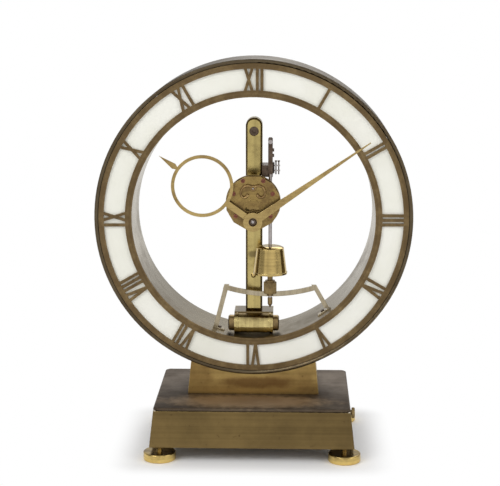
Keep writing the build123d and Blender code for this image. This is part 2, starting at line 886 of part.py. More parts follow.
def make_suspension():
    post_side = post_w / 2
    foot_z = pivot_z - cock_foot_drop
    upright_top = pivot_z - foot_z + cock_over
    middle = pendulum_x - post_side
    screw_y = cock_front_y + cock_t / 2
    screw_side = Plane(origin=(cock_right, screw_y, pivot_z), x_dir=(0, 1, 0), z_dir=(1, 0, 0))
    screw_places = [(0, -drop) for drop in cock_screw_drops]
    with BuildPart() as cock:
        with BuildSketch(front_plane(cock_front_y, x=post_side, z=foot_z)):
            with Locations((middle / 2 + cock_w / 4, cock_foot_h / 2)):
                Rectangle(middle + cock_w / 2, cock_foot_h)
        extrude(amount=-(post_front_y + post_d / 2 - cock_front_y))
        with BuildSketch(front_plane(cock_front_y, x=post_side, z=foot_z)):
            with Locations((middle, upright_top / 2)):
                RectangleRounded(cock_w, upright_top, radius=cock_w * 0.4)
        extrude(amount=-cock_t)
        with BuildSketch(front_plane(cock_front_y, x=pendulum_x, z=pivot_z)):
            Circle(pin_r)
        extrude(amount=-cock_t, mode=Mode.SUBTRACT)
        with BuildSketch(screw_side):
            with Locations(*screw_places):
                Circle(cock_screw_r * 0.5)
        extrude(amount=-cock_w / 2, mode=Mode.SUBTRACT)
    save(cock, "suspension_cock")
    with BuildPart() as screws:
        with BuildSketch(screw_side):
            with Locations(*screw_places):
                Circle(cock_screw_r)
        extrude(amount=cock_screw_r * 0.8)
        with BuildSketch(screw_side):
            with Locations(*screw_places):
                Circle(cock_screw_r * 0.5 - seat_gap / 2)
        extrude(amount=-cock_w / 2)
    save(screws, "cock_screws")
    pin_front = pendulum_y - head_d / 2 - plate_clear
    with BuildPart() as pin:
        with BuildSketch(front_plane(cock_front_y + cock_t, x=pendulum_x, z=pivot_z)):
            Circle(pin_r)
        extrude(amount=cock_front_y + cock_t - pin_front)
        with BuildSketch(front_plane(pin_front, x=pendulum_x, z=pivot_z)):
            Circle(pin_r * 1.7)
        extrude(amount=pin_r)
    save(pin, "suspension_pin")


def make_contacts():
    block_z = pivot_z - sum(contact_drops) / len(contact_drops)
    bars_x = cock_right + contact_block_w
    bar_y = cock_front_y + contact_block_d * 0.25
    screw_xs = [bars_x + contact_bar_l / 2 + side * contact_pitch / 2 for side in (-1, 1)]
    with BuildPart() as block:
        with BuildSketch(front_plane(cock_front_y, x=cock_right, z=block_z)):
            with Locations((contact_block_w / 2, 0)):
                Rectangle(contact_block_w, contact_block_h)
        extrude(amount=-contact_block_d)
        chamfer(block.edges().filter_by(Axis.Y).group_by(Axis.X)[-1], length=contact_block_w * 0.4)
    save(block, "contact_block")
    with BuildPart() as bars:
        for drop in contact_drops:
            with BuildSketch(front_plane(bar_y - contact_bar_d / 2, x=bars_x, z=pivot_z - drop)):
                with Locations((contact_bar_l / 2, 0)):
                    Rectangle(contact_bar_l, contact_bar_h)
            extrude(amount=-contact_bar_d)
        with BuildSketch(Plane.XY.offset(block_z - contact_block_h)):
            with Locations(*[(x, bar_y) for x in screw_xs]):
                Circle(contact_screw_r + seat_gap / 2)
        extrude(amount=2 * contact_block_h, mode=Mode.SUBTRACT)
    save(bars, "contact_bars")
    with BuildPart() as screws:
        with BuildSketch(Plane.XY.offset(block_z - contact_screw_l / 2)):
            with Locations(*[(x, bar_y) for x in screw_xs]):
                Circle(contact_screw_r)
        extrude(amount=contact_screw_l)
        with BuildSketch(Plane.XY.offset(block_z + contact_screw_l / 2)):
            with Locations(*[(x, bar_y) for x in screw_xs]):
                RegularPolygon(contact_screw_r * 1.9, 8)
        extrude(amount=contact_screw_r * 1.8)
    save(screws, "contact_screws")


# Movement plates

screw_places = [(-7.9, 31.4), (7.9, 31.4), (-15.2, 21.2), (15.2, 21.2), (-13.6, 3.6), (13.6, 3.6)]
mount_places = [(-3.9, 3.4), (-3.9, 31.0), (3.9, 32.0)]


def middle_places():
    """Where the arbors stand, as places about the dial's centre: hands, middle wheel, count wheel, rocker."""
    places = {"hands": (0, 0), "count": (0, count_up), "rocker": (0, rocker_up)}
    places["middle"] = (middle_x, middle_up)
    return places


def make_plates():
    arbors = middle_places()
    with BuildPart() as front:
        with BuildSketch(front_plane(front_plate_y)):
            with Locations((0, plate_up)):
                RegularPolygon(plate_r, plate_sides, rotation=180 / plate_sides)
            with Locations(*screw_places):
                Circle(plate_screw_r * 0.6, mode=Mode.SUBTRACT)
            with Locations((0, 0)):
                Circle(minute_arbor_r + running_gap, mode=Mode.SUBTRACT)
            with Locations(arbors["middle"], arbors["count"]):
                Circle(pivot_r + running_gap, mode=Mode.SUBTRACT)
            with Locations(arbors["rocker"]):
                Circle(arbor_r + running_gap, mode=Mode.SUBTRACT)
            with Locations((0, window_up)):
                SlotOverall(window_w, window_h, mode=Mode.SUBTRACT)
        extrude(amount=-plate_t)
        with BuildSketch(front_plane(front_plate_y)):
            with Locations((0, window_up + window_h / 2)):
                Circle(boss_r)
            with Locations((0, window_up + window_h / 2 - boss_r)):
                Rectangle(2 * boss_r, 2 * boss_r, mode=Mode.SUBTRACT)
            with Locations(arbors["count"]):
                Circle(pivot_r + running_gap, mode=Mode.SUBTRACT)
        extrude(amount=boss_t)
    save(front, "front_plate")
    with BuildPart() as back:
        with BuildSketch(front_plane(back_plate_y)):
            with Locations((0, plate_up)):
                Circle(plate_r)
            with Locations((0, 0), arbors["middle"], arbors["count"]):
                Circle(pivot_r + running_gap, mode=Mode.SUBTRACT)
            with Locations(arbors["rocker"]):
                Circle(arbor_r + running_gap, mode=Mode.SUBTRACT)
        extrude(amount=-plate_t)
    save(back, "back_plate")


def make_pillars_and_screws():
    with BuildPart() as pillars:
        with BuildSketch(front_plane(front_plate_y + plate_t)):
            with Locations(*screw_places):
                Circle(plate_pillar_r)
        extrude(amount=-plate_gap)
    save(pillars, "plate_pillars")
    with BuildPart() as screws:
        with BuildSketch(front_plane(front_plate_y)):
            with Locations(*screw_places):
                Circle(plate_screw_r)
        extrude(amount=plate_screw_h)
        with BuildSketch(front_plane(front_plate_y - plate_screw_h)):
            with Locations(*screw_places):
                Rectangle(2 * plate_screw_r, plate_screw_r * 0.3)
        extrude(amount=-plate_screw_h * 0.5, mode=Mode.SUBTRACT)
        with BuildSketch(front_plane(front_plate_y)):
            with Locations(*screw_places):
                Circle(plate_screw_r * 0.6 - seat_gap / 2)
        extrude(amount=-plate_t)
    save(screws, "plate_screws")
    with BuildPart() as mounts:
        with BuildSketch(front_plane(back_plate_back_y)):
            with Locations(*mount_places):
                Circle(mount_r)
        extrude(amount=-(post_front_y - back_plate_back_y))
    save(mounts, "movement_mounts")


# Wheels of the train


def angle_between(start, end):
    """Direction from one place to another, in degrees."""
    return math.degrees(math.atan2(end[1] - start[1], end[0] - start[0]))


def make_count_wheel():
    arbors = middle_places()
    x, up = arbors["count"]
    place = front_plane(count_y, x=x, z=dial_z + up)
    toward = angle_between(arbors["count"], arbors["middle"])
    with BuildPart() as wheel:
        with BuildSketch(place):
            Polygon(*ratchet_points(count_teeth, count_r, ratchet_depth), align=None)
        extrude(amount=-wheel_t)
        with BuildSketch(front_plane(count_y + wheel_t, x=x, z=dial_z + up)):
            Polygon(*tooth_points(first_pinion, first_module, toward), align=None)
        extrude(amount=-(first_y - count_y))
        with BuildSketch(front_plane(front_plate_y + seat_gap, x=x, z=dial_z + up)):
            Circle(pivot_r)
        extrude(amount=-(back_plate_back_y - front_plate_y - 2 * seat_gap))
    save(wheel, "count_wheel")


def make_intermediate_wheel():
    arbors = middle_places()
    x, up = arbors["middle"]
    toward = angle_between(arbors["middle"], arbors["count"])
    onward = angle_between(arbors["middle"], arbors["hands"])
    with BuildPart() as wheel:
        with BuildSketch(front_plane(first_y, x=x, z=dial_z + up)):
            Polygon(*tooth_points(first_wheel, first_module, toward + 180 / first_wheel), align=None)
        extrude(amount=-wheel_t)
        with BuildSketch(front_plane(first_y + wheel_t, x=x, z=dial_z + up)):
            Polygon(*tooth_points(second_pinion, second_module, onward), align=None)
        extrude(amount=-(second_y - first_y))
        with BuildSketch(front_plane(front_plate_y + seat_gap, x=x, z=dial_z + up)):
            Circle(pivot_r)
        extrude(amount=-(back_plate_back_y - front_plate_y - 2 * seat_gap))
    save(wheel, "intermediate_wheel")


def make_centre_wheel():
    arbors = middle_places()
    toward = angle_between(arbors["hands"], arbors["middle"])
    with BuildPart() as wheel:
        with BuildSketch(front_plane(second_y)):
            Polygon(*tooth_points(second_wheel, second_module, toward + 180 / second_wheel), align=None)
            Circle(arbor_r + running_gap, mode=Mode.SUBTRACT)
        extrude(amount=-wheel_t)
    save(wheel, "centre_wheel")


def make_minute_arbor():
    front_y = minute_hand_y + hub_hole_depth * 0.4
    with BuildPart() as arbor:
        with BuildSketch(front_plane(front_y)):
            Circle(minute_end_r)
        extrude(amount=-(minute_hand_y + hub_t - front_y))
        fillet(arbor.edges().group_by(Axis.Y)[0], radius=minute_end_r * 0.5)
        with BuildSketch(front_plane(minute_hand_y + hub_t)):
            Circle(minute_arbor_r)
        extrude(amount=-(front_plate_y + plate_t - minute_hand_y - hub_t))
        with BuildSketch(front_plane(front_plate_y + plate_t)):
            Circle(arbor_r)
        extrude(amount=-(plate_gap - seat_gap))
        with BuildSketch(front_plane(back_plate_y - seat_gap)):
            Circle(pivot_r)
        extrude(amount=-plate_t)
    save(arbor, "minute_arbor")


def make_cannon_pinion():
    with BuildPart() as pinion:
        with BuildSketch(front_plane(motion_y)):
            Polygon(*tooth_points(cannon_teeth, motion_module, 90), align=None)
            Circle(minute_arbor_r, mode=Mode.SUBTRACT)
        extrude(amount=-wheel_t)
    save(pinion, "cannon_pinion")


def make_motion_wheel():
    with BuildPart() as wheel:
        with BuildSketch(front_plane(motion_y, z=dial_z + motion_distance)):
            Polygon(*tooth_points(motion_teeth, motion_module, -90 + 180 / motion_teeth), align=None)
        extrude(amount=-wheel_t)
        with BuildSketch(front_plane(motion_y, z=dial_z + motion_distance)):
            Polygon(*tooth_points(motion_pinion, hour_module, -90), align=None)
        extrude(amount=motion_y - hour_wheel_y)
        with BuildSketch(front_plane(motion_y + wheel_t, z=dial_z + motion_distance)):
            Circle(pivot_r + running_gap)
        extrude(amount=ring_depth, mode=Mode.SUBTRACT)
    save(wheel, "motion_wheel")
    with BuildPart() as stud:
        with BuildSketch(front_plane(hour_wheel_y, z=dial_z + motion_distance)):
            Circle(pivot_r)
        extrude(amount=-(front_plate_y - hour_wheel_y))
    save(stud, "motion_stud")


def make_hour_wheel():
    with BuildPart() as wheel:
        with BuildSketch(front_plane(hour_wheel_y)):
            Polygon(*tooth_points(hour_teeth, hour_module, 90 + 180 / hour_teeth), align=None)
            Circle(minute_arbor_r + running_gap, mode=Mode.SUBTRACT)
        extrude(amount=-wheel_t)
        with BuildSketch(front_plane(hour_wheel_y)):
            Circle(pipe_r)
            Circle(minute_arbor_r + running_gap, mode=Mode.SUBTRACT)
        extrude(amount=hour_wheel_y - hour_hand_y)
    save(wheel, "hour_wheel")


# Rocker that the pendulum drives


def make_rocker():
    z = dial_z + rocker_up
    with BuildPart() as horns:
        with BuildSketch(front_plane(horn_y, z=z)):
            Circle(horn_hub_r)
            for sign in (-1, 1):
                with Locations((sign * horn_x, -horn_drop)):
                    Circle(horn_r + horn_w / 2)
                    Circle(horn_r - horn_w / 2, mode=Mode.SUBTRACT)
            with Locations((0, -horn_drop - horn_r * 0.1)):
                Rectangle(2 * (horn_x - horn_r * 0.55), 2 * horn_r * 0.75, mode=Mode.SUBTRACT)
            Circle(horn_hub_r)
            for sign in (-1, 1):
                with Locations((sign * horn_x / 2, horn_r * 0.06)):
                    Rectangle(horn_x, horn_w)
            Circle(arbor_r, mode=Mode.SUBTRACT)
        extrude(amount=-horn_t)
    save(horns, "rocker_horns")
    with BuildPart() as arbor:
        with BuildSketch(front_plane(horn_y, z=z)):
            Circle(arbor_r)
        extrude(amount=-(crutch_y + crutch_t - horn_y))
        with BuildSketch(front_plane(count_y, z=z)):
            Circle(horn_hub_r * 0.8)
            for sign in (-1, 1):
                reach = (sign * pallet_r * math.sin(math.radians(pallet_angle)),
                         -pallet_r * math.cos(math.radians(pallet_angle)))
                length = math.hypot(*reach)
                slant = math.degrees(math.atan2(reach[1], reach[0]))
                with Locations(Location((reach[0] / 2, reach[1] / 2), slant)):
                    Rectangle(length, pallet_w)
                with Locations((reach[0] - sign * pallet_w * 0.5, reach[1] - pallet_w * 0.3)):
                    Circle(pallet_w * 0.6)
        extrude(amount=-wheel_t)
    save(arbor, "rocker_arbor")
    reach_x = pendulum_x
    reach_z = fork_up - rocker_up
    slope = math.degrees(math.atan2(reach_z, reach_x))
    length = math.hypot(reach_x, reach_z)
    prong_x = rod_r + fork_clear + fork_wall / 2
    with BuildPart() as crutch:
        with BuildSketch(front_plane(crutch_y, z=z)):
            Circle(crutch_w * 0.8)
            with Locations(Location((reach_x / 2, reach_z / 2), slope)):
                Rectangle(length, crutch_w)
            with Locations((reach_x, reach_z)):
                Rectangle(2 * (rod_r + fork_clear + fork_wall), crutch_w)
            Circle(arbor_r, mode=Mode.SUBTRACT)
        extrude(amount=-crutch_t)
        with BuildSketch(front_plane(crutch_y + crutch_t, z=z)):
            with Locations((reach_x - prong_x, reach_z), (reach_x + prong_x, reach_z)):
                Rectangle(fork_wall, crutch_w)
        extrude(amount=-(pendulum_y + rod_r - crutch_y - crutch_t))
    save(crutch, "crutch")


# Pendulum


def make_pendulum():
    head_bottom_z = pivot_z + head_top - head_length
    with BuildPart() as head:
        with BuildSketch(front_plane(pendulum_y - head_d / 2, x=pendulum_x, z=pivot_z)):
            with Locations((0, head_top - head_length / 2)):
                RectangleRounded(head_w, head_length, radius=head_w * 0.45)
            Circle(pin_r + running_gap, mode=Mode.SUBTRACT)
        extrude(amount=-head_d)
        with BuildSketch(Plane.XY.offset(head_bottom_z)):
            with Locations((pendulum_x, pendulum_y)):
                Circle(rod_r)
        extrude(amount=head_length * 0.3, mode=Mode.SUBTRACT)
    save(head, "pendulum_head")
    with BuildPart() as rod:
        with BuildSketch(Plane.XY.offset(head_bottom_z + head_length * 0.3)):
            with Locations((pendulum_x, pendulum_y)):
                Circle(rod_r)
        extrude(amount=-(head_bottom_z + head_length * 0.3 - tip_top_z))
    save(rod, "pendulum_rod")
    with BuildPart() as tip:
        with BuildSketch(Plane.XY.offset(tip_top_z)):
            with Locations((pendulum_x, pendulum_y)):
                Circle(tip_r)
        extrude(amount=-tip_h)
        with BuildSketch(Plane.XY.offset(tip_top_z - tip_h)):
            with Locations((pendulum_x, pendulum_y)):
                Circle(tip_r)
        extrude(amount=-tip_point_h, taper=math.degrees(math.atan2(tip_r * 0.85, tip_point_h)))
    save(tip, "pendulum_tip")


def make_bob():
    axis = Plane(origin=(pendulum_x, pendulum_y, bob_bottom_z), x_dir=(1, 0, 0), z_dir=(0, -1, 0))
    bore = rod_r + running_gap
    with BuildPart() as bob:
        with BuildSketch(axis):
            with BuildLine():
                Polyline(
                    (bob_rim_r, 0),
                    (bob_rim_r, bob_rim_h),
                    (bob_bottom_r, bob_rim_h),
                    (bob_top_r, bob_h - bob_dome),
                )
                ThreePointArc(
                    (bob_top_r, bob_h - bob_dome),
                    (bob_top_r * 0.8, bob_h - bob_dome * 0.25),
                    (bob_top_r * 0.4, bob_h),
                )
                Polyline(
                    (bob_top_r * 0.4, bob_h),
                    (bore, bob_h),
                    (bore, 0),
                    (bob_rim_r, 0),
                )
            make_face()
        revolve(axis=Axis((pendulum_x, pendulum_y, 0), (0, 0, 1)))
    save(bob, "pendulum_bob")


def make_rating_nut():
    flange_z = nut_top_z - nut_neck_h
    body_z = flange_z - nut_flange_h
    collar_z = body_z - nut_body_h
    here = [(pendulum_x, pendulum_y)]
    with BuildPart() as nut:
        with BuildSketch(Plane.XY.offset(nut_top_z)):
            with Locations(*here):
                Circle(nut_neck_r)
        extrude(amount=-nut_neck_h)
        with BuildSketch(Plane.XY.offset(flange_z)):
            with Locations(*here):
                Circle(nut_flange_r)
        extrude(amount=-nut_flange_h)
        with BuildSketch(Plane.XY.offset(body_z)):
            with Locations(*here):
                Circle(nut_r)
                with PolarLocations(nut_r, nut_knurls):
                    Circle(knurl_r, mode=Mode.SUBTRACT)
        extrude(amount=-nut_body_h)
        with BuildSketch(Plane.XY.offset(collar_z)):
            with Locations(*here):
                Circle(nut_collar_r)
        extrude(amount=-nut_collar_h, taper=20)
        with BuildSketch(Plane.XY.offset(nut_top_z)):
            with Locations(*here):
                Circle(rod_r + running_gap)
        extrude(amount=nut_bottom_z - nut_top_z, mode=Mode.SUBTRACT)
    save(nut, "rating_nut")


# Hands


def make_hour_hand():
    shoulder = hour_circle_up + hour_circle_r
    inner_r = hour_circle_r - hour_band
    with BuildPart() as hand:
        with BuildSketch(front_plane(hour_hand_y)):
            with Locations(Rotation(0, 0, -hour_angle)):
                Circle(hour_hub_r)
                with Locations((0, (hour_circle_up - inner_r) / 2)):
                    Rectangle(hour_neck_w, hour_circle_up - inner_r)
                with Locations((0, hour_circle_up)):
                    Circle(hour_circle_r)
                Polygon(
                    (-spear_w / 2, shoulder + spear_shoulder),
                    (0, shoulder - hour_band),
                    (spear_w / 2, shoulder + spear_shoulder),
                    (0, hour_length),
                    align=None,
                )
                Polygon(
                    (-spear_w / 4, shoulder - hour_band / 2),
                    (spear_w / 4, shoulder - hour_band / 2),
                    (spear_w / 4, shoulder + spear_shoulder),
                    (-spear_w / 4, shoulder + spear_shoulder),
                    align=None,
                )
                with Locations((0, hour_circle_up)):
                    Circle(inner_r, mode=Mode.SUBTRACT)
                Circle(pipe_r, mode=Mode.SUBTRACT)
        extrude(amount=-hour_hand_t)
    save(hand, "hour_hand")


def make_minute_hand():
    with BuildPart() as hand:
        with BuildSketch(front_plane(minute_hand_y)):
            with Locations(Rotation(0, 0, -minute_angle)):
                Polygon(
                    (-minute_root_w / 2, 0),
                    (minute_root_w / 2, 0),
                    (minute_tip_w / 2, minute_length),
                    (-minute_tip_w / 2, minute_length),
                    align=None,
                )
        extrude(amount=-minute_hand_t)
        with BuildSketch(front_plane(minute_hand_y)):
            Circle(hub_r)
        extrude(amount=-hub_t)
        with BuildSketch(front_plane(minute_hand_y)):
            Circle(hub_hole_r)
        extrude(amount=-hub_hole_depth, mode=Mode.SUBTRACT)
        with BuildSketch(front_plane(minute_hand_y)):
            Circle(minute_end_r)
        extrude(amount=-hub_t, mode=Mode.SUBTRACT)
    save(hand, "minute_hand")


make_outer_band()
make_inner_band()
make_back_ring()
make_dial_glass()
make_glass_retainer()
make_chapter_fret()
make_base_case()
make_base_lid()
make_bottom_cover()
make_tie_pillars()
make_bottom_screws()
make_foot_bushes()
make_feet()
make_battery()
make_switch()
make_pedestal()
make_pedestal_bolts()
make_clock_post()
make_post_screw()
make_coil_housing()
make_coil()
make_swing_guard()
make_guard_screws()
make_suspension()
make_contacts()
make_plates()
make_pillars_and_screws()
make_count_wheel()
make_intermediate_wheel()
make_centre_wheel()
make_minute_arbor()
make_cannon_pinion()
make_motion_wheel()
make_hour_wheel()
make_rocker()
make_pendulum()
make_bob()
make_rating_nut()
make_hour_hand()
make_minute_hand()
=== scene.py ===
"""Looks of a ring-shaped skeleton table clock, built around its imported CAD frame."""

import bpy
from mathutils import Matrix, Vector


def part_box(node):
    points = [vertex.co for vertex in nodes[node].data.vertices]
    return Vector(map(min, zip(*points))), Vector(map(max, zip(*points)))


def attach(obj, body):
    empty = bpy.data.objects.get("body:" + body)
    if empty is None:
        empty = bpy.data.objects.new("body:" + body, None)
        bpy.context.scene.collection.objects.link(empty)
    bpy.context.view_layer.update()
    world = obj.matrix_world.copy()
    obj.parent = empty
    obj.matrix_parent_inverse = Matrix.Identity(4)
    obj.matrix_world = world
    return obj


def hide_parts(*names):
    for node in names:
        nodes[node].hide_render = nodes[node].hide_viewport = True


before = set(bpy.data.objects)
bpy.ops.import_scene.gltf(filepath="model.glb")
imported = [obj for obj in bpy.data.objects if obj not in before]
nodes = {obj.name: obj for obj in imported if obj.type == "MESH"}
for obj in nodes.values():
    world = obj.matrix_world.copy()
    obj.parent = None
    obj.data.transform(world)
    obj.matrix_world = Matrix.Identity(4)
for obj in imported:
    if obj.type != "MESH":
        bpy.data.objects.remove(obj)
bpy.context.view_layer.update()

import math

import bmesh
import bpy
from mathutils import Matrix, Vector

# Sizes of the clock in metres, as the frame has them
DIAL_Z = 0.1838
PENDULUM_X, PENDULUM_Y = 0.0132, -0.010
POST_FRONT_Y = 0.00485
RING_BACK_Y = 0.0385

scene = bpy.context.scene


def tone(red, green, blue):
    """Colour of a finish, given as it looks on a screen from 0 to 255."""
    def linear(level):
        level /= 255
        return level / 12.92 if level <= 0.04045 else ((level + 0.055) / 1.055) ** 2.4
    return (linear(red), linear(green), linear(blue), 1.0)


# Shader node groups

# How much finer than the clouds of tarnish their detail and the specks are, and how soft the clouds end
FINE_CLOUDS = 7.3
SPECKS = 16.0
CLOUD_EDGE = 0.2
# Metres of line for each radian round a turned piece
ARC_LENGTH = 0.02


def shader_group(name, inputs, outputs):
    group = bpy.data.node_groups.new(name, "ShaderNodeTree")
    for title, kind, value in inputs:
        socket = group.interface.new_socket(name=title, in_out="INPUT", socket_type=f"NodeSocket{kind}")
        if value is not None:
            socket.default_value = value
    for title, kind in outputs:
        group.interface.new_socket(name=title, in_out="OUTPUT", socket_type=f"NodeSocket{kind}")
    return group, group.nodes.new("NodeGroupInput"), group.nodes.new("NodeGroupOutput")


def math_node(tree, operation, first, second=None, clamp=False):
    node = tree.nodes.new("ShaderNodeMath")
    node.operation = operation
    node.use_clamp = clamp
    for socket, value in zip(node.inputs, (first, second)):
        if value is None:
            continue
        if isinstance(value, (int, float)):
            socket.default_value = value
        else:
            tree.links.new(value, socket)
    return node.outputs[0]


def noise_node(tree, vector, scale, detail=3.0, roughness=0.55):
    node = tree.nodes.new("ShaderNodeTexNoise")
    node.inputs["Detail"].default_value = detail
    node.inputs["Roughness"].default_value = roughness
    tree.links.new(vector, node.inputs["Vector"])
    if isinstance(scale, (int, float)):
        node.inputs["Scale"].default_value = scale
    else:
        tree.links.new(scale, node.inputs["Scale"])
    return node.outputs["Fac"]


def range_node(tree, value, low, high, to_low=0.0, to_high=1.0):
    node = tree.nodes.new("ShaderNodeMapRange")
    node.interpolation_type = "SMOOTHSTEP"
    tree.links.new(value, node.inputs["Value"])
    for title, amount in (("From Min", low), ("From Max", high), ("To Min", to_low), ("To Max", to_high)):
        if isinstance(amount, (int, float)):
            node.inputs[title].default_value = amount
        else:
            tree.links.new(amount, node.inputs[title])
    return node.outputs["Result"]


def mix_colour(tree, factor, first, second, blend="MIX"):
    node = tree.nodes.new("ShaderNodeMix")
    node.data_type = "RGBA"
    node.blend_type = blend
    for socket, value in zip((node.inputs[0], node.inputs[6], node.inputs[7]), (factor, first, second)):
        if isinstance(value, (int, float, tuple)):
            socket.default_value = value
        else:
            tree.links.new(value, socket)
    return node.outputs[2]


def bump_node(tree, height, distance, normal=None):
    node = tree.nodes.new("ShaderNodeBump")
    node.inputs["Distance"].default_value = distance
    node.inputs["Strength"].default_value = 1.0
    tree.links.new(height, node.inputs["Height"])
    if normal is not None:
        tree.links.new(normal, node.inputs["Normal"])
    return node.outputs["Normal"]


def make_tarnish_group():
    """Clean metal under cloudy tarnish with small dark spots."""
    group, source, sink = shader_group(
        "tarnish",
        [("Vector", "Vector", None), ("Clean", "Color", None), ("Tarnished", "Color", None),
         ("Spotted", "Color", None), ("Cloud Scale", "Float", 35.0), ("Cover", "Float", 0.5),
         ("Spots", "Float", 0.3)],
        [("Color", "Color"), ("Cover", "Float")],
    )
    vector = source.outputs["Vector"]
    scale = source.outputs["Cloud Scale"]
    clouds = noise_node(group, vector, scale, 5.0, 0.62)
    fine = noise_node(group, vector, math_node(group, "MULTIPLY", scale, FINE_CLOUDS), 3.0, 0.6)
    blended = math_node(group, "ADD", math_node(group, "MULTIPLY", clouds, 0.78),
                        math_node(group, "MULTIPLY", fine, 0.22))
    edge = math_node(group, "SUBTRACT", 1.0, source.outputs["Cover"])
    low = math_node(group, "SUBTRACT", edge, CLOUD_EDGE)
    high = math_node(group, "ADD", edge, CLOUD_EDGE)
    cover = range_node(group, blended, low, high)
    specks = noise_node(group, vector, math_node(group, "MULTIPLY", scale, SPECKS), 2.0, 0.5)
    spots = math_node(group, "MULTIPLY", range_node(group, specks, 0.66, 0.76), source.outputs["Spots"])
    toned = mix_colour(group, cover, source.outputs["Clean"], source.outputs["Tarnished"])
    group.links.new(mix_colour(group, spots, toned, source.outputs["Spotted"]), sink.inputs["Color"])
    group.links.new(cover, sink.inputs["Cover"])
    return group


def make_lines_group():
    """Fine parallel lines that a brush or a lathe tool leaves, across the last axis of the vector."""
    group, source, sink = shader_group(
        "tool_lines",
        [("Vector", "Vector", None), ("Along", "Float", 12.0), ("Across", "Float", 2600.0)],
        [("Lines", "Float"), ("Bands", "Float")],
    )
    split = group.nodes.new("ShaderNodeSeparateXYZ")
    group.links.new(source.outputs["Vector"], split.inputs[0])
    join = group.nodes.new("ShaderNodeCombineXYZ")
    for axis, scale in ((0, "Along"), (1, "Along"), (2, "Across")):
        scaled = math_node(group, "MULTIPLY", split.outputs[axis], source.outputs[scale])
        group.links.new(scaled, join.inputs[axis])
    group.links.new(noise_node(group, join.outputs[0], 1.0, 2.0, 0.6), sink.inputs["Lines"])
    group.links.new(noise_node(group, join.outputs[0], 0.16, 2.0, 0.5), sink.inputs["Bands"])
    return group


def make_polar_group():
    """Turns a point into its angle round the Y axis and distance from it, for lines round a turned piece."""
    group, source, sink = shader_group("round_the_axis", [("Vector", "Vector", None)], [("Vector", "Vector")])
    split = group.nodes.new("ShaderNodeSeparateXYZ")
    group.links.new(source.outputs["Vector"], split.inputs[0])
    across = math_node(group, "MULTIPLY", split.outputs[0], split.outputs[0])
    up = math_node(group, "MULTIPLY", split.outputs[2], split.outputs[2])
    distance = math_node(group, "SQRT", math_node(group, "ADD", across, up))
    angle = math_node(group, "ARCTAN2", split.outputs[0], split.outputs[2])
    angle = math_node(group, "MULTIPLY", angle, ARC_LENGTH)
    join = group.nodes.new("ShaderNodeCombineXYZ")
    group.links.new(angle, join.inputs[0])
    group.links.new(math_node(group, "ADD", distance, split.outputs[1]), join.inputs[2])
    group.links.new(join.outputs[0], sink.inputs["Vector"])
    return group


def make_edge_group():
    """Edges rounded by handling: where they are worn and shine, painted lighter as a highlight, and the
    softened normal.
    """
    group, source, sink = shader_group(
        "worn_edges",
        [("Vector", "Vector", None), ("Reach", "Float", 0.0004), ("Breakup Scale", "Float", 300.0)],
        [("Wear", "Float"), ("Normal", "Vector")],
    )
    bevel = group.nodes.new("ShaderNodeBevel")
    bevel.samples = 6
    group.links.new(source.outputs["Reach"], bevel.inputs["Radius"])
    geometry = group.nodes.new("ShaderNodeNewGeometry")
    turn = group.nodes.new("ShaderNodeVectorMath")
    turn.operation = "DOT_PRODUCT"
    group.links.new(bevel.outputs["Normal"], turn.inputs[0])
    group.links.new(geometry.outputs["True Normal"], turn.inputs[1])
    bent = math_node(group, "SUBTRACT", 1.0, turn.outputs["Value"])
    edge_wear_and_highlight = range_node(group, bent, 0.03, 0.22)
    breakup = noise_node(group, source.outputs["Vector"], source.outputs["Breakup Scale"])
    patchy = range_node(group, breakup, 0.3, 0.62)
    group.links.new(math_node(group, "MULTIPLY", edge_wear_and_highlight, patchy), sink.inputs["Wear"])
    group.links.new(bevel.outputs["Normal"], sink.inputs["Normal"])
    return group


def make_dust_group():
    """Thin dust and handling marks on faces that look up."""
    group, source, sink = shader_group(
        "settled_dust", [("Vector", "Vector", None), ("Amount", "Float", 0.3), ("Scale", "Float", 60.0)],
        [("Mask", "Float")],
    )
    geometry = group.nodes.new("ShaderNodeNewGeometry")
    split = group.nodes.new("ShaderNodeSeparateXYZ")
    group.links.new(geometry.outputs["Normal"], split.inputs[0])
    facing = range_node(group, split.outputs[2], 0.5, 0.95)
    cloud = noise_node(group, source.outputs["Vector"], source.outputs["Scale"], 6.0, 0.65)
    cloud = range_node(group, cloud, 0.42, 0.68)
    both = math_node(group, "MULTIPLY", facing, cloud)
    group.links.new(math_node(group, "MULTIPLY", both, source.outputs["Amount"]), sink.inputs["Mask"])
    return group


TARNISH = make_tarnish_group()
LINES = make_lines_group()
POLAR = make_polar_group()
EDGES = make_edge_group()
DUST = make_dust_group()


def place_group(tree, group, **values):
    node = tree.nodes.new("ShaderNodeGroup")
    node.node_tree = group
    for title, value in values.items():
        socket = node.inputs[title.replace("_", " ")]
        if isinstance(value, (int, float, tuple)):
            socket.default_value = value
        else:
            tree.links.new(value, socket)
    return node


def start_material(name):
    material = bpy.data.materials.new(name)
    material.use_nodes = True
    tree = material.node_tree
    shader = tree.nodes["Principled BSDF"]
    place = tree.nodes.new("ShaderNodeTexCoord").outputs["Object"]
    return material, tree, shader, place


def centred(tree, place, location=(0, 0, 0), rotation=(0, 0, 0), size=(1, 1, 1)):
    mapping = tree.nodes.new("ShaderNodeMapping")
    mapping.vector_type = "TEXTURE"
    mapping.inputs["Location"].default_value = location
    mapping.inputs["Rotation"].default_value = rotation
    mapping.inputs["Scale"].default_value = size
    tree.links.new(place, mapping.inputs["Vector"])
    return mapping.outputs["Vector"]


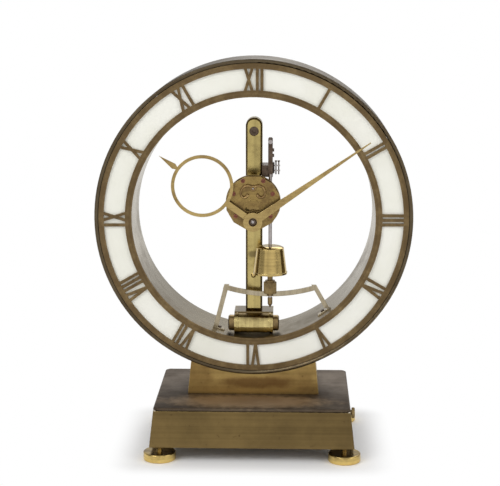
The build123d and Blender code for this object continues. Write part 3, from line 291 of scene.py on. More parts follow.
def metal(name, clean, tarnished, spotted, lines=None, cover=0.5, cloud_scale=35.0, spots=0.3,
          roughness=(0.22, 0.42), line_depth=0.00002, across=2600.0, along=12.0, edge=0.00035, shine=None,
          dust=0.0):
    """Metal with tarnish, tool lines and worn edges, whose lighter shine colour on the edges is partly rubbed
    metal and partly a painted highlight. lines is a function from the tree and the place to the vector whose
    last axis the lines run across."""
    material, tree, shader, place = start_material(name)
    links = tree.links
    patina = place_group(tree, TARNISH, Vector=place, Clean=clean, Tarnished=tarnished, Spotted=spotted,
                         Cloud_Scale=cloud_scale, Cover=cover, Spots=spots)
    colour = patina.outputs["Color"]
    tool = place_group(tree, LINES, Vector=lines(tree, place) if lines else place, Along=along, Across=across)
    shade = range_node(tree, tool.outputs["Bands"], 0.3, 0.7, 0.86, 1.1)
    colour = mix_colour(tree, 1.0, colour, shade, "MULTIPLY")
    edge_wear_and_highlight = place_group(tree, EDGES, Vector=place, Reach=edge, Breakup_Scale=260.0)
    # Edges take the shine colour: partly rubbed metal, partly a painted highlight
    colour = mix_colour(tree, edge_wear_and_highlight.outputs["Wear"], colour, shine or clean)
    rough = range_node(tree, patina.outputs["Cover"], 0.0, 1.0, roughness[0], roughness[1])
    rough = math_node(tree, "ADD", rough, math_node(tree, "MULTIPLY", tool.outputs["Lines"], 0.08))
    if dust:
        film = place_group(tree, DUST, Vector=place, Amount=dust, Scale=55.0)
        colour = mix_colour(tree, film.outputs["Mask"], colour, tone(190, 178, 165))
        rough = math_node(tree, "ADD", rough, math_node(tree, "MULTIPLY", film.outputs["Mask"], 0.3))
    normal = bump_node(tree, tool.outputs["Lines"], line_depth, edge_wear_and_highlight.outputs["Normal"])
    links.new(normal, shader.inputs["Normal"])
    links.new(colour, shader.inputs["Base Color"])
    links.new(rough, shader.inputs["Roughness"])
    shader.inputs["Metallic"].default_value = 1.0
    return material


def round_ring(tree, place):
    """Lines run round the ring's own axis."""
    middle = centred(tree, place, (0, 0, DIAL_Z))
    return place_group(tree, POLAR, Vector=middle).outputs["Vector"]


def along_x(tree, place):
    """Lines run round or across a bar that lies along X."""
    return centred(tree, place, rotation=(0, math.radians(90), 0))


def along_y(tree, place):
    """Lines cross Y."""
    return centred(tree, place, rotation=(math.radians(-90), 0, 0))


BROWN_SPOT = tone(74, 56, 38)

ring_bronze = metal("ring_bronze", tone(104, 93, 73), tone(82, 71, 55), tone(52, 40, 30), round_ring,
                    cover=0.55, cloud_scale=22.0, roughness=(0.3, 0.44), edge=0.0005,
                    shine=tone(160, 140, 104))
numeral_bronze = metal("numeral_bronze", tone(136, 116, 82), tone(104, 86, 60), tone(60, 44, 32), round_ring,
                       cover=0.58, cloud_scale=90.0, roughness=(0.3, 0.45), edge=0.0003,
                       shine=tone(182, 156, 110))
inner_ring_metal = metal("inner_ring_metal", tone(154, 142, 116), tone(120, 107, 84), tone(80, 64, 46),
                         round_ring, cover=0.45, cloud_scale=26.0, roughness=(0.2, 0.36), edge=0.0004)
plain_case = metal("plain_case", tone(122, 102, 64), tone(102, 85, 54), tone(68, 52, 34), None,
                   cover=0.5, cloud_scale=16.0, spots=0.5, roughness=(0.3, 0.42), across=1700.0, along=7.0,
                   line_depth=0.00003, edge=0.0005, shine=tone(206, 182, 124))
plain_lid = metal("plain_lid", tone(98, 86, 72), tone(80, 69, 58), tone(56, 45, 38), along_y,
                  cover=0.5, cloud_scale=18.0, roughness=(0.46, 0.6), edge=0.0005, shine=tone(160, 138, 108),
                  dust=0.16)
plain_post = metal("plain_post", tone(182, 164, 106), tone(140, 123, 79), BROWN_SPOT, along_x,
                   cover=0.4, cloud_scale=45.0, roughness=(0.16, 0.32), across=1400.0, along=8.0, edge=0.0005)
turned_brass = metal("turned_brass", tone(194, 169, 108), tone(150, 126, 76), BROWN_SPOT, None,
                     cover=0.34, cloud_scale=60.0, roughness=(0.1, 0.26), across=2600.0, along=3.0,
                     edge=0.0005, shine=tone(236, 216, 158))
knurled_brass = metal("knurled_brass", tone(150, 128, 88), tone(112, 94, 66), BROWN_SPOT, None,
                      cover=0.5, cloud_scale=120.0, roughness=(0.24, 0.4), across=2600.0, along=3.0,
                      edge=0.0003, shine=tone(210, 184, 128))
gilt = metal("gilt", tone(180, 156, 102), tone(136, 112, 72), BROWN_SPOT, None,
             cover=0.42, cloud_scale=60.0, roughness=(0.2, 0.36), edge=0.0003, shine=tone(222, 198, 140))
guard_brass = metal("guard_brass", tone(172, 160, 136), tone(144, 131, 106), BROWN_SPOT, along_x,
                    cover=0.4, cloud_scale=60.0, roughness=(0.22, 0.38), edge=0.0004,
                    shine=tone(226, 206, 160))
plate_brass = metal("plate_brass", tone(156, 132, 80), tone(114, 91, 60), tone(92, 60, 52), round_ring,
                    cover=0.48, cloud_scale=110.0, spots=0.5, roughness=(0.22, 0.38), edge=0.0003,
                    shine=tone(206, 178, 116))
wheel_brass = metal("wheel_brass", tone(158, 134, 86), tone(112, 92, 60), BROWN_SPOT, None,
                    cover=0.4, cloud_scale=120.0, roughness=(0.2, 0.35), edge=0.00015)
bright_steel = metal("bright_steel", tone(176, 170, 168), tone(138, 128, 124), tone(84, 70, 62), None,
                     cover=0.42, cloud_scale=140.0, roughness=(0.16, 0.3), edge=0.0002)
dark_steel = metal("dark_steel", tone(104, 90, 78), tone(78, 64, 54), tone(46, 36, 30), None,
                   cover=0.5, cloud_scale=160.0, roughness=(0.3, 0.48), edge=0.0002,
                   shine=tone(160, 140, 112))
screw_bronze = metal("screw_bronze", tone(142, 90, 74), tone(104, 64, 56), tone(56, 40, 34), None,
                     cover=0.5, cloud_scale=220.0, roughness=(0.26, 0.42), edge=0.0002,
                     shine=tone(186, 150, 116))
solder = metal("solder", tone(206, 198, 182), tone(168, 158, 140), tone(110, 96, 80), None,
               cover=0.45, cloud_scale=300.0, roughness=(0.3, 0.45), edge=0.0002)
copper_wire = metal("copper_wire", tone(196, 116, 72), tone(160, 84, 50), tone(90, 48, 30), along_x,
                    cover=0.4, cloud_scale=120.0, roughness=(0.2, 0.35), across=5200.0, along=2.0,
                    line_depth=0.0001, edge=0.0002)


def stain_and_painted_shade(name, source, patch_colour, centre, size, strength):
    """Copy of a metal with one soft patch of another colour, an uneven ellipsoid about a place: a stain on
    some parts, painted shade or a painted reflection on others.
    """
    material = source.copy()
    material.name = name
    tree = material.node_tree
    shader = tree.nodes["Principled BSDF"]
    place = tree.nodes["Texture Coordinate"].outputs["Object"]
    length = tree.nodes.new("ShaderNodeVectorMath")
    length.operation = "LENGTH"
    tree.links.new(centred(tree, place, centre, size=size), length.inputs[0])
    ragged = math_node(tree, "MULTIPLY", noise_node(tree, place, 160.0, 4.0, 0.6), 0.7)
    reach = math_node(tree, "ADD", length.outputs["Value"], ragged)
    mask = math_node(tree, "MULTIPLY", range_node(tree, reach, 0.8, 1.4, 1.0, 0.0), strength)
    before = shader.inputs["Base Color"].links[0].from_socket
    tree.links.new(mix_colour(tree, mask, before, patch_colour), shader.inputs["Base Color"])
    return material


plain_pedestal = metal("plain_pedestal", tone(158, 132, 80), tone(124, 98, 58), tone(78, 56, 36), None,
                       cover=0.46, cloud_scale=20.0, spots=0.4, roughness=(0.24, 0.4), across=1500.0,
                       along=9.0, edge=0.0006, shine=tone(226, 204, 146))
pedestal_brass = stain_and_painted_shade("pedestal_brass", plain_pedestal, tone(92, 64, 36), (0.004, -0.016, 0.052),
                         (0.036, 0.02, 0.006), 0.75)
plain_barrel = metal("plain_barrel", tone(206, 188, 130), tone(156, 138, 90), BROWN_SPOT, along_x,
                     cover=0.38, cloud_scale=50.0, roughness=(0.12, 0.28), across=2400.0, along=3.0,
                     edge=0.0005)
# Painted reflection: the barrel's upper part darkened, standing in for something dark it reflects
barrel_brass = stain_and_painted_shade("barrel_brass", plain_barrel, tone(104, 86, 56), (0, 0.004, 0.1062),
                       (0.03, 0.03, 0.0072), 0.92)


def make_milk_glass():
    material, tree, shader, place = start_material("milk_glass")
    links = tree.links
    cloud = noise_node(tree, place, 18.0, 3.0, 0.5)
    smear = noise_node(tree, place, 90.0, 5.0, 0.6)
    colour = mix_colour(tree, range_node(tree, cloud, 0.35, 0.65), tone(240, 239, 230), tone(233, 232, 220))
    specks = range_node(tree, noise_node(tree, place, 700.0, 2.0), 0.74, 0.8)
    colour = mix_colour(tree, math_node(tree, "MULTIPLY", specks, 0.25), colour, tone(176, 168, 150))
    links.new(colour, shader.inputs["Base Color"])
    links.new(range_node(tree, smear, 0.3, 0.7, 0.1, 0.22), shader.inputs["Roughness"])
    ripple = noise_node(tree, place, 45.0, 2.0)
    links.new(bump_node(tree, ripple, 0.00004), shader.inputs["Normal"])
    shader.inputs["Metallic"].default_value = 0.0
    shader.inputs["Transmission Weight"].default_value = 0.0
    shader.inputs["IOR"].default_value = 1.5
    return material


def make_moulding():
    material, tree, shader, place = start_material("brown_moulding")
    links = tree.links
    swirl = noise_node(tree, place, 140.0, 5.0, 0.65)
    colour = mix_colour(tree, range_node(tree, swirl, 0.35, 0.7), tone(58, 40, 32), tone(36, 26, 24))
    edge_wear_and_highlight = place_group(tree, EDGES, Vector=place, Reach=0.0003, Breakup_Scale=400.0)
    # Lighter edges: partly wear, partly a painted highlight
    colour = mix_colour(tree, edge_wear_and_highlight.outputs["Wear"], colour, tone(96, 74, 60))
    links.new(colour, shader.inputs["Base Color"])
    links.new(range_node(tree, swirl, 0.3, 0.7, 0.35, 0.5), shader.inputs["Roughness"])
    links.new(edge_wear_and_highlight.outputs["Normal"], shader.inputs["Normal"])
    return material


def make_jacket():
    material, tree, shader, place = start_material("grey_card")
    links = tree.links
    fibre = noise_node(tree, place, 900.0, 5.0, 0.7)
    colour = mix_colour(tree, range_node(tree, fibre, 0.3, 0.7), tone(150, 152, 156), tone(128, 131, 136))
    links.new(colour, shader.inputs["Base Color"])
    links.new(range_node(tree, fibre, 0.3, 0.7, 0.6, 0.75), shader.inputs["Roughness"])
    links.new(bump_node(tree, fibre, 0.00005), shader.inputs["Normal"])
    return material


# A soft darker patch on the post's front face
post_brass = stain_and_painted_shade("post_brass", plain_post, tone(92, 78, 52), (0, POST_FRONT_Y, 0.1524),
                     (0.006, 0.01, 0.0032), 0.7)
# Painted shadow: a thin dark band round the case just under the lid's edge
case_brass = stain_and_painted_shade("case_brass", plain_case, tone(44, 34, 24), (0, 0, 0.0417), (10, 10, 0.0008), 0.8)
lid_bronze = stain_and_painted_shade("lid_bronze", plain_lid, tone(206, 180, 148), (-0.004, -0.037, 0.0425),
                     (0.078, 0.021, 0.006), 0.66)
plain_foot = metal("plain_foot", tone(236, 206, 128), tone(196, 164, 96), BROWN_SPOT, None,
                   cover=0.36, cloud_scale=70.0, roughness=(0.14, 0.28), across=2600.0, along=3.0,
                   edge=0.0005)
# Painted shadow and painted reflection: each foot darker towards its top and on its stem, under the base
foot_brass = stain_and_painted_shade("foot_brass", plain_foot, tone(70, 52, 36), (0, 0, 0.014), (10, 10, 0.011), 0.85)
milk_glass = make_milk_glass()
brown_moulding = make_moulding()
grey_card = make_jacket()

FINISHES = {
    ring_bronze: ["outer_band", "back_ring", "glass_retainer"],
    numeral_bronze: ["chapter_fret"],
    inner_ring_metal: ["inner_band"],
    milk_glass: ["dial_glass"],
    case_brass: ["base_case", "bottom_cover"],
    pedestal_brass: ["pedestal"],
    lid_bronze: ["base_lid"],
    post_brass: ["clock_post", "movement_mounts"],
    turned_brass: ["pendulum_bob", "foot_bushes", "tie_pillars", "plate_pillars"],
    foot_brass: ["front_left_foot", "front_right_foot", "rear_left_foot", "rear_right_foot"],
    barrel_brass: ["coil_housing"],
    knurled_brass: ["rating_nut", "pendulum_tip", "coil_core", "switch_knob", "switch_bush"],
    gilt: ["hour_hand", "minute_hand", "rocker_horns"],
    guard_brass: ["swing_guard"],
    plate_brass: ["front_plate", "back_plate"],
    wheel_brass: ["count_wheel", "intermediate_wheel", "centre_wheel", "hour_wheel", "motion_wheel",
                  "cannon_pinion", "crutch", "battery_contacts"],
    bright_steel: ["pendulum_rod", "suspension_pin", "minute_arbor", "motion_stud", "rocker_arbor",
                   "contact_bars", "pedestal_bolts"],
    dark_steel: ["pendulum_head", "suspension_cock", "cock_screws", "contact_screws", "post_screw",
                 "guard_screws", "bottom_screws"],
    screw_bronze: ["plate_screws"],
    brown_moulding: ["contact_block", "coil_bobbin", "battery_tray"],
    copper_wire: ["coil_winding"],
    grey_card: ["battery_cell"],
}
for finish, names in FINISHES.items():
    for name in names:
        nodes[name].data.materials.clear()
        nodes[name].data.materials.append(finish)


# Pieces that are finer than the frame


def set_inputs(modifier, **values):
    """Give a Geometry Nodes modifier its values by the sockets' titles."""
    for item in modifier.node_group.interface.items_tree:
        if item.item_type == "SOCKET" and item.in_out == "INPUT" and item.name.replace(" ", "_") in values:
            modifier[item.identifier] = values[item.name.replace(" ", "_")]


def start_tree(name, inputs):
    tree = bpy.data.node_groups.new(name, "GeometryNodeTree")
    tree.interface.new_socket(name="Geometry", in_out="INPUT", socket_type="NodeSocketGeometry")
    for title, kind, value in inputs:
        socket = tree.interface.new_socket(name=title, in_out="INPUT", socket_type=f"NodeSocket{kind}")
        if value is not None:
            socket.default_value = value
    tree.interface.new_socket(name="Geometry", in_out="OUTPUT", socket_type="NodeSocketGeometry")
    return tree, tree.nodes.new("NodeGroupInput"), tree.nodes.new("NodeGroupOutput")


def finish_tree(tree, source, sink, points, rotation=None):
    """Stand the piece on each point, turn the whole pattern and place it."""
    stand = tree.nodes.new("GeometryNodeInstanceOnPoints")
    tree.links.new(points, stand.inputs["Points"])
    tree.links.new(source.outputs["Geometry"], stand.inputs["Instance"])
    if rotation is not None:
        tree.links.new(rotation, stand.inputs["Rotation"])
    move = tree.nodes.new("GeometryNodeTransform")
    tree.links.new(stand.outputs["Instances"], move.inputs["Geometry"])
    tree.links.new(source.outputs["Centre"], move.inputs["Translation"])
    tree.links.new(source.outputs["Tilt"], move.inputs["Rotation"])
    real = tree.nodes.new("GeometryNodeRealizeInstances")
    tree.links.new(move.outputs["Geometry"], real.inputs["Geometry"])
    paint = tree.nodes.new("GeometryNodeSetMaterial")
    tree.links.new(real.outputs["Geometry"], paint.inputs["Geometry"])
    tree.links.new(source.outputs["Material"], paint.inputs["Material"])
    tree.links.new(paint.outputs["Geometry"], sink.inputs["Geometry"])
    return tree


PLACING = [("Centre", "Vector", None), ("Tilt", "Rotation", None), ("Material", "Material", None)]


def make_circle_tree():
    """Copies of a piece evenly round a circle, each turned to face outwards."""
    tree, source, sink = start_tree("round_a_circle", [("Count", "Int", 12), ("Radius", "Float", 0.01),
                                                       ("First Angle", "Float", 0.0)] + PLACING)
    circle = tree.nodes.new("GeometryNodeMeshCircle")
    tree.links.new(source.outputs["Count"], circle.inputs["Vertices"])
    tree.links.new(source.outputs["Radius"], circle.inputs["Radius"])
    turn = tree.nodes.new("GeometryNodeTransform")
    tree.links.new(circle.outputs["Mesh"], turn.inputs["Geometry"])
    lean = tree.nodes.new("ShaderNodeCombineXYZ")
    tree.links.new(source.outputs["First Angle"], lean.inputs["Z"])
    spin = tree.nodes.new("FunctionNodeEulerToRotation")
    tree.links.new(lean.outputs[0], spin.inputs[0])
    tree.links.new(spin.outputs[0], turn.inputs["Rotation"])
    place = tree.nodes.new("GeometryNodeInputPosition")
    align = tree.nodes.new("FunctionNodeAlignRotationToVector")
    align.axis = "X"
    align.pivot_axis = "Z"
    tree.links.new(place.outputs[0], align.inputs["Vector"])
    return finish_tree(tree, source, sink, turn.outputs["Geometry"], align.outputs["Rotation"])


def make_corner_tree():
    """Copies of a piece on a rectangle's four corners."""
    sizes = [("Width", "Float", 0.1), ("Depth", "Float", 0.1)]
    tree, source, sink = start_tree("on_four_corners", sizes + PLACING)
    grid = tree.nodes.new("GeometryNodeMeshGrid")
    grid.inputs["Vertices X"].default_value = 2
    grid.inputs["Vertices Y"].default_value = 2
    tree.links.new(source.outputs["Width"], grid.inputs["Size X"])
    tree.links.new(source.outputs["Depth"], grid.inputs["Size Y"])
    return finish_tree(tree, source, sink, grid.outputs["Mesh"])


ROUND = make_circle_tree()
CORNERS = make_corner_tree()


def mesh_object(name, mesh):
    piece = bpy.data.objects.new(name, mesh)
    scene.collection.objects.link(piece)
    return piece


def spread(name, seed, tree, body, slot, **values):
    """Run a pattern on a seed mesh and keep the result as one plain piece on its body."""
    source = mesh_object(name + "_seed", seed)
    modifier = source.modifiers.new("pattern", "NODES")
    modifier.node_group = tree
    set_inputs(modifier, **values)
    bpy.context.view_layer.update()
    made = bpy.data.meshes.new_from_object(source.evaluated_get(bpy.context.evaluated_depsgraph_get()))
    source.modifiers.remove(modifier)
    bpy.data.objects.remove(source)
    made.name = name
    return keep(mesh_object(name, made), body)


def keep(piece, body, finish=None):
    if finish is not None:
        piece.data.materials.clear()
        piece.data.materials.append(finish)
    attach(piece, body)
    return piece


def mesh_from(form, name):
    mesh = bpy.data.meshes.new(name)
    form.to_mesh(mesh)
    form.free()
    return mesh


def smooth_faces(mesh, angle=35.0):
    mesh.polygons.foreach_set("use_smooth", [True] * len(mesh.polygons))
    mesh.set_sharp_from_angle(angle=math.radians(angle))


def lathe(profile, segments=64):
    """Closed mesh from a profile of (radius, height) points turned about Z."""
    form = bmesh.new()
    rings = []
    for radius, height in profile:
        if radius < 1e-7:
            rings.append([form.verts.new((0, 0, height))])
            continue
        turn = [2 * math.pi * step / segments for step in range(segments)]
        rings.append([form.verts.new((radius * math.cos(a), radius * math.sin(a), height)) for a in turn])
    closed = len(rings[0]) > 1 and len(rings[-1]) > 1
    pairs = list(zip(rings, rings[1:])) + ([(rings[-1], rings[0])] if closed else [])
    for low, high in pairs:
        for step in range(segments):
            after = (step + 1) % segments
            if len(low) == 1 and len(high) == 1:
                continue
            if len(low) == 1:
                form.faces.new((low[0], high[after], high[step]))
            elif len(high) == 1:
                form.faces.new((low[step], low[after], high[0]))
            else:
                form.faces.new((low[step], low[after], high[after], high[step]))
    bmesh.ops.recalc_face_normals(form, faces=form.faces)
    mesh = mesh_from(form, "turned")
    smooth_faces(mesh)
    return mesh


def slotted_head(radius, height, slot, steps=14):
    """Screw head with its slot along X, standing on the origin."""
    floor = height * 0.45
    form = bmesh.new()

    def prism(outline, low, high):
        below = [form.verts.new((x, y, low)) for x, y in outline]
        above = [form.verts.new((x * 0.97, y * 0.97, high)) for x, y in outline]
        form.faces.new(list(reversed(below)))
        form.faces.new(above)
        for step in range(len(outline)):
            after = (step + 1) % len(outline)
            form.faces.new((below[step], below[after], above[after], above[step]))

    start = math.asin(slot / 2 / radius)
    for side in (0, math.pi):
        angles = [side + start + (math.pi - 2 * start) * step / steps for step in range(steps + 1)]
        prism([(radius * math.cos(a), radius * math.sin(a)) for a in angles], floor, height)
    angles = [2 * math.pi * step / (2 * steps) for step in range(2 * steps)]
    prism([(radius * math.cos(a), radius * math.sin(a)) for a in angles], 0.0, floor)
    bmesh.ops.recalc_face_normals(form, faces=form.faces)
    mesh = mesh_from(form, "slotted_head")
    smooth_faces(mesh, 30)
    return mesh


def placed(mesh, matrix):
    mesh.transform(matrix)
    return mesh


TO_FRONT = Matrix.Rotation(math.radians(90), 4, "X")


def make_back_screws():
    """Screws that hold the ring's back cover, on both of its edges."""
    rows = (("back_screws_outer", 0.1165, 12, 15.0), ("back_screws_inner", 0.1012, 8, 22.5))
    for name, radius, count, first in rows:
        head = slotted_head(radius=0.0021, height=0.0009, slot=0.0005)
        spread(name, head, ROUND, "case", "dark_steel", Count=count, Radius=radius,
               First_Angle=math.radians(first), Centre=(0, RING_BACK_Y, DIAL_Z),
               Tilt=(math.radians(-90), 0, 0), Material=screw_bronze)


RIB_R = 0.00022
RIB_LENGTH = 0.0014
RIB_SUNK = 0.00008


def make_knob_grip():
    """Coined edge of the switch knob."""
    low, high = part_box("switch_knob")
    middle = (low + high) / 2
    radius = (high.z - low.z) / 2
    form = bmesh.new()
    bmesh.ops.create_cone(form, cap_ends=True, segments=6, radius1=RIB_R, radius2=RIB_R, depth=RIB_LENGTH)
    spread("knob_grip", mesh_from(form, "rib"), ROUND, "switch_knob", "polished_brass", Count=40,
           Radius=radius - RIB_SUNK, First_Angle=0.0, Centre=(high.x - RIB_LENGTH, middle.y, middle.z),
           Tilt=(0, math.radians(90), 0),
           Material=knurled_brass)


def make_corner_solder():
    """Solder that shows in the mitred corners of the case, beside the lid's cut corners."""
    low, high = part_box("base_lid")
    blob = lathe([(0.0, 0.0007), (0.0006, 0.00062), (0.0011, 0.0003), (0.00125, -0.0002), (0.0, -0.0003)], 20)
    spread("corner_solder", blob, CORNERS, "case", "inner_metal", Width=high.x - low.x - 0.0026,
           Depth=high.y - low.y - 0.0026, Centre=(0, 0, low.z), Tilt=(0, 0, 0), Material=solder)


def make_hub_collet():
    """Dark collet at the bottom of the minute hand's hub."""
    low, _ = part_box("minute_hand")
    profile = [(0.00145, 0.0), (0.0032, 0.0), (0.0032, 0.0002), (0.0026, 0.0003), (0.0022, 0.0008),
               (0.00145, 0.0008)]
    collet = placed(lathe(profile, 48), Matrix.Translation((0, low.y + 0.0014, DIAL_Z)) @ TO_FRONT)
    keep(mesh_object("hub_collet", collet), "minute_hand", dark_steel)


def make_post_stud():
    """Small turned stud low on the post."""
    profile = [(0.0, 0.0014), (0.0009, 0.0013), (0.0015, 0.0009), (0.0017, 0.0004), (0.0021, 0.0002),
               (0.0021, -0.0002), (0.0, -0.0002)]
    stud = placed(lathe(profile, 32), Matrix.Translation((-0.0004, POST_FRONT_Y, 0.1352)) @ TO_FRONT)
    keep(mesh_object("post_stud", stud), "case", turned_brass)


# Middle of the horns, the radius of their tube, and their paths as millimetres to the right and up from the
# middle, with the share of that radius
HORN_Z = 0.2094
HORN_Y = -0.0225
HORN_TUBE_R = 0.00088
HORN_PATHS = {
    "left": [(-0.8, 0.9, 1.1), (-3.2, 2.6, 1.05), (-6.8, 1.9, 0.95), (-9.4, -1.2, 0.9), (-9.9, -4.8, 0.9),
             (-8.2, -7.6, 0.95), (-5.6, -7.5, 1.1), (-4.4, -5.7, 1.45)],
    "right": [(0.8, 0.9, 1.1), (3.3, 2.5, 1.05), (6.9, 1.9, 0.95), (9.2, -1.2, 0.9), (9.6, -4.9, 0.9),
              (7.6, -7.5, 0.95), (4.8, -7.3, 1.1), (3.6, -5.6, 1.45)],
}


def make_curled_horns():
    """Two arms of the rocker, curled like a ram's horns."""
    data = bpy.data.curves.new("horns", "CURVE")
    data.dimensions = "3D"
    data.bevel_depth = HORN_TUBE_R
    data.bevel_resolution = 4
    data.resolution_u = 10
    data.use_fill_caps = True
    for points in HORN_PATHS.values():
        spline = data.splines.new("NURBS")
        spline.points.add(len(points) - 1)
        for point, (x, z, radius) in zip(spline.points, points):
            point.co = (x / 1000, HORN_Y, HORN_Z + z / 1000, 1.0)
            point.radius = radius
        spline.order_u = 4
        spline.use_endpoint_u = True
    source = bpy.data.objects.new("horns_source", data)
    scene.collection.objects.link(source)
    bpy.context.view_layer.update()
    mesh = bpy.data.meshes.new_from_object(source.evaluated_get(bpy.context.evaluated_depsgraph_get()))
    bpy.data.objects.remove(source)
    hub = lathe([(0.0006, -0.0007), (0.0021, -0.0007), (0.0024, -0.0004), (0.0024, 0.0004), (0.0021, 0.0007),
                 (0.0011, 0.0007), (0.0009, 0.0004), (0.0006, 0.0004)], 40)
    hub.transform(Matrix.Translation((0, HORN_Y, HORN_Z)) @ TO_FRONT)
    joined = bmesh.new()
    joined.from_mesh(mesh)
    joined.from_mesh(hub)
    balls = [(points[-1][0], points[-1][1]) for points in HORN_PATHS.values()]
    for x, z in balls:
        spot = Matrix.Translation((x / 1000, HORN_Y, HORN_Z + z / 1000)) @ Matrix.Diagonal((1, 0.62, 1, 1))
        bmesh.ops.create_uvsphere(joined, u_segments=20, v_segments=12, radius=0.00125, matrix=spot)
    joined.to_mesh(mesh)
    joined.free()
    smooth_faces(mesh, 50)
    horns = keep(mesh_object("curled_horns", mesh), "rocker", horn_bronze)
    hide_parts("rocker_horns")


horn_bronze = metal("horn_bronze", tone(168, 140, 92), tone(112, 88, 60), tone(60, 44, 34), None,
                    cover=0.5, cloud_scale=180.0, spots=0.5, roughness=(0.2, 0.36), edge=0.0002,
                    shine=tone(226, 202, 148))
make_back_screws()
make_knob_grip()
make_corner_solder()
make_hub_collet()
make_post_stud()
make_curled_horns()


# Camera, light and floor

FOCAL_PIXELS = 1418.86
PHOTO_WIDTH = 500
SENSOR = 36.0
CAMERA_PLACE = (0.03251, -1.11105, 0.36804)
CAMERA_YAW, CAMERA_PITCH = 0.032, 0.183

# The floor keeps its shadow under the base and for a short way round it
FLOOR_R = 4.0
FLOOR_FADE = 0.03
BASE_HALF_W, BASE_HALF_D = 0.084, 0.064


def make_camera():
    yaw, pitch = CAMERA_YAW, CAMERA_PITCH
    data = bpy.data.cameras.new("camera")
    data.sensor_width = SENSOR
    data.lens = FOCAL_PIXELS / PHOTO_WIDTH * SENSOR
    camera = bpy.data.objects.new("camera", data)
    scene.collection.objects.link(camera)
    ahead = Vector((-math.sin(yaw) * math.cos(pitch), math.cos(yaw) * math.cos(pitch), -math.sin(pitch)))
    right = Vector((math.cos(yaw), math.sin(yaw), 0))
    up = right.cross(ahead)
    turn = Matrix((right, up, -ahead)).transposed()
    camera.matrix_world = Matrix.Translation(CAMERA_PLACE) @ turn.to_4x4()
    scene.camera = camera


def make_lamp(name, place, aim, size, power):
    data = bpy.data.lights.new(name, "AREA")
    data.shape = "RECTANGLE"
    data.size, data.size_y = size
    data.energy = power
    lamp = bpy.data.objects.new(name, data)
    scene.collection.objects.link(lamp)
    lamp.location = place
    lamp.rotation_euler = (Vector(aim) - Vector(place)).to_track_quat("-Z", "Y").to_euler()


# How bright the room looks in a reflection, by the direction round the clock, 0 being towards the camera
ROOM_LEVELS = [(-180, 0.7), (-144, 0.72), (-108, 0.42), (-83, 0.3), (-52, 0.38), (-34, 0.92), (-17, 0.74),
               (0, 0.88), (17, 1.0), (34, 0.92), (52, 0.36), (72, 0.62), (123, 0.66), (180, 0.6)]


def make_world():
    world = bpy.data.worlds.new("studio")
    scene.world = world
    world.use_nodes = True
    tree = world.node_tree
    tree.nodes.clear()
    rays = tree.nodes.new("ShaderNodeLightPath")
    direction = tree.nodes.new("ShaderNodeTexCoord").outputs["Generated"]
    split = tree.nodes.new("ShaderNodeSeparateXYZ")
    tree.links.new(direction, split.inputs[0])
    seen = math_node(tree, "MAXIMUM", rays.outputs["Is Glossy Ray"], rays.outputs["Is Transmission Ray"])
    across = math_node(tree, "ARCTAN2", split.outputs[0], math_node(tree, "MULTIPLY", split.outputs[1], -1.0))
    around = math_node(tree, "ADD", math_node(tree, "DIVIDE", across, 2 * math.pi), 0.5)
    room = tree.nodes.new("ShaderNodeValToRGB")
    room.color_ramp.interpolation = "EASE"
    for index, (degrees, bright) in enumerate(ROOM_LEVELS):
        stops = room.color_ramp.elements
        stop = stops[index] if index < 2 else stops.new(1.0)
        stop.position = degrees / 360 + 0.5
        stop.color = (bright, bright, bright, 1.0)
    tree.links.new(around, room.inputs["Fac"])
    level = tree.nodes.new("ShaderNodeMix")
    level.inputs[2].default_value = 0.62
    tree.links.new(seen, level.inputs[0])
    tree.links.new(room.outputs["Color"], level.inputs[3])
    strength = math_node(tree, "MAXIMUM", level.outputs[0], rays.outputs["Is Camera Ray"])
    background = tree.nodes.new("ShaderNodeBackground")
    background.inputs["Color"].default_value = (1, 1, 1, 1)
    tree.links.new(strength, background.inputs["Strength"])
    output = tree.nodes.new("ShaderNodeOutputWorld")
    tree.links.new(background.outputs[0], output.inputs["Surface"])


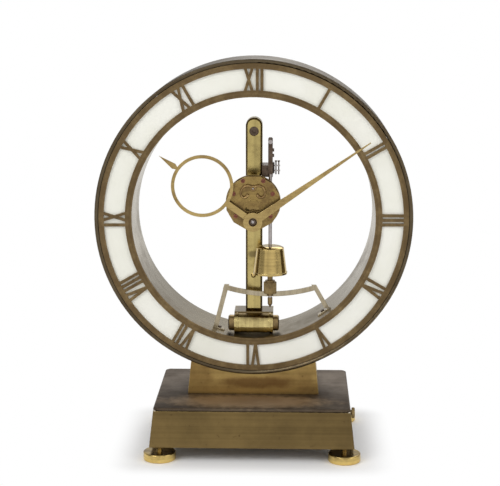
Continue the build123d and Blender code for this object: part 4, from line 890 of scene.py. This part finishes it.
def make_floor():
    """Pale floor that fades into the white background away from the clock."""
    form = bmesh.new()
    bmesh.ops.create_circle(form, cap_ends=True, segments=96, radius=FLOOR_R)
    mesh = mesh_from(form, "floor")
    floor = bpy.data.objects.new("floor", mesh)
    scene.collection.objects.link(floor)
    material, tree, shader, place = start_material("pale_floor")
    shader.inputs["Roughness"].default_value = 0.75
    shader.inputs["Specular IOR Level"].default_value = 0.2
    paper = noise_node(tree, place, 30.0, 3.0)
    pale = mix_colour(tree, paper, tone(252, 252, 252), tone(250, 250, 250))
    tree.links.new(pale, shader.inputs["Base Color"])
    glow = tree.nodes.new("ShaderNodeEmission")
    glow.inputs["Strength"].default_value = 1.0
    rays = tree.nodes.new("ShaderNodeLightPath")
    split = tree.nodes.new("ShaderNodeSeparateXYZ")
    tree.links.new(place, split.inputs[0])
    outside = []
    for axis, half in ((0, BASE_HALF_W), (1, BASE_HALF_D)):
        past = math_node(tree, "SUBTRACT", math_node(tree, "ABSOLUTE", split.outputs[axis]), half)
        past = math_node(tree, "MAXIMUM", past, 0.0)
        outside.append(math_node(tree, "MULTIPLY", past, past))
    distance = math_node(tree, "SQRT", math_node(tree, "ADD", outside[0], outside[1]))
    far = range_node(tree, distance, 0.0, FLOOR_FADE)
    mirrored = math_node(tree, "MAXIMUM", rays.outputs["Is Glossy Ray"], rays.outputs["Is Transmission Ray"])
    seen = math_node(tree, "MAXIMUM", rays.outputs["Is Camera Ray"], mirrored)
    blend = tree.nodes.new("ShaderNodeMixShader")
    tree.links.new(math_node(tree, "MULTIPLY", far, seen), blend.inputs[0])
    tree.links.new(shader.outputs[0], blend.inputs[1])
    tree.links.new(glow.outputs[0], blend.inputs[2])
    tree.links.new(blend.outputs[0], tree.nodes["Material Output"].inputs["Surface"])
    mesh.materials.append(material)


make_camera()
make_world()
make_lamp("key", (-0.9, -1.0, 1.1), (0, 0, 0.15), (0.9, 0.9), 9.0)
make_lamp("fill", (1.1, -0.7, 0.7), (0, 0, 0.15), (0.7, 0.9), 3.5)
make_lamp("rear", (0.3, 1.1, 1.0), (0, 0, 0.15), (1.0, 0.6), 4.0)
make_floor()
scene.view_settings.view_transform = "Standard"
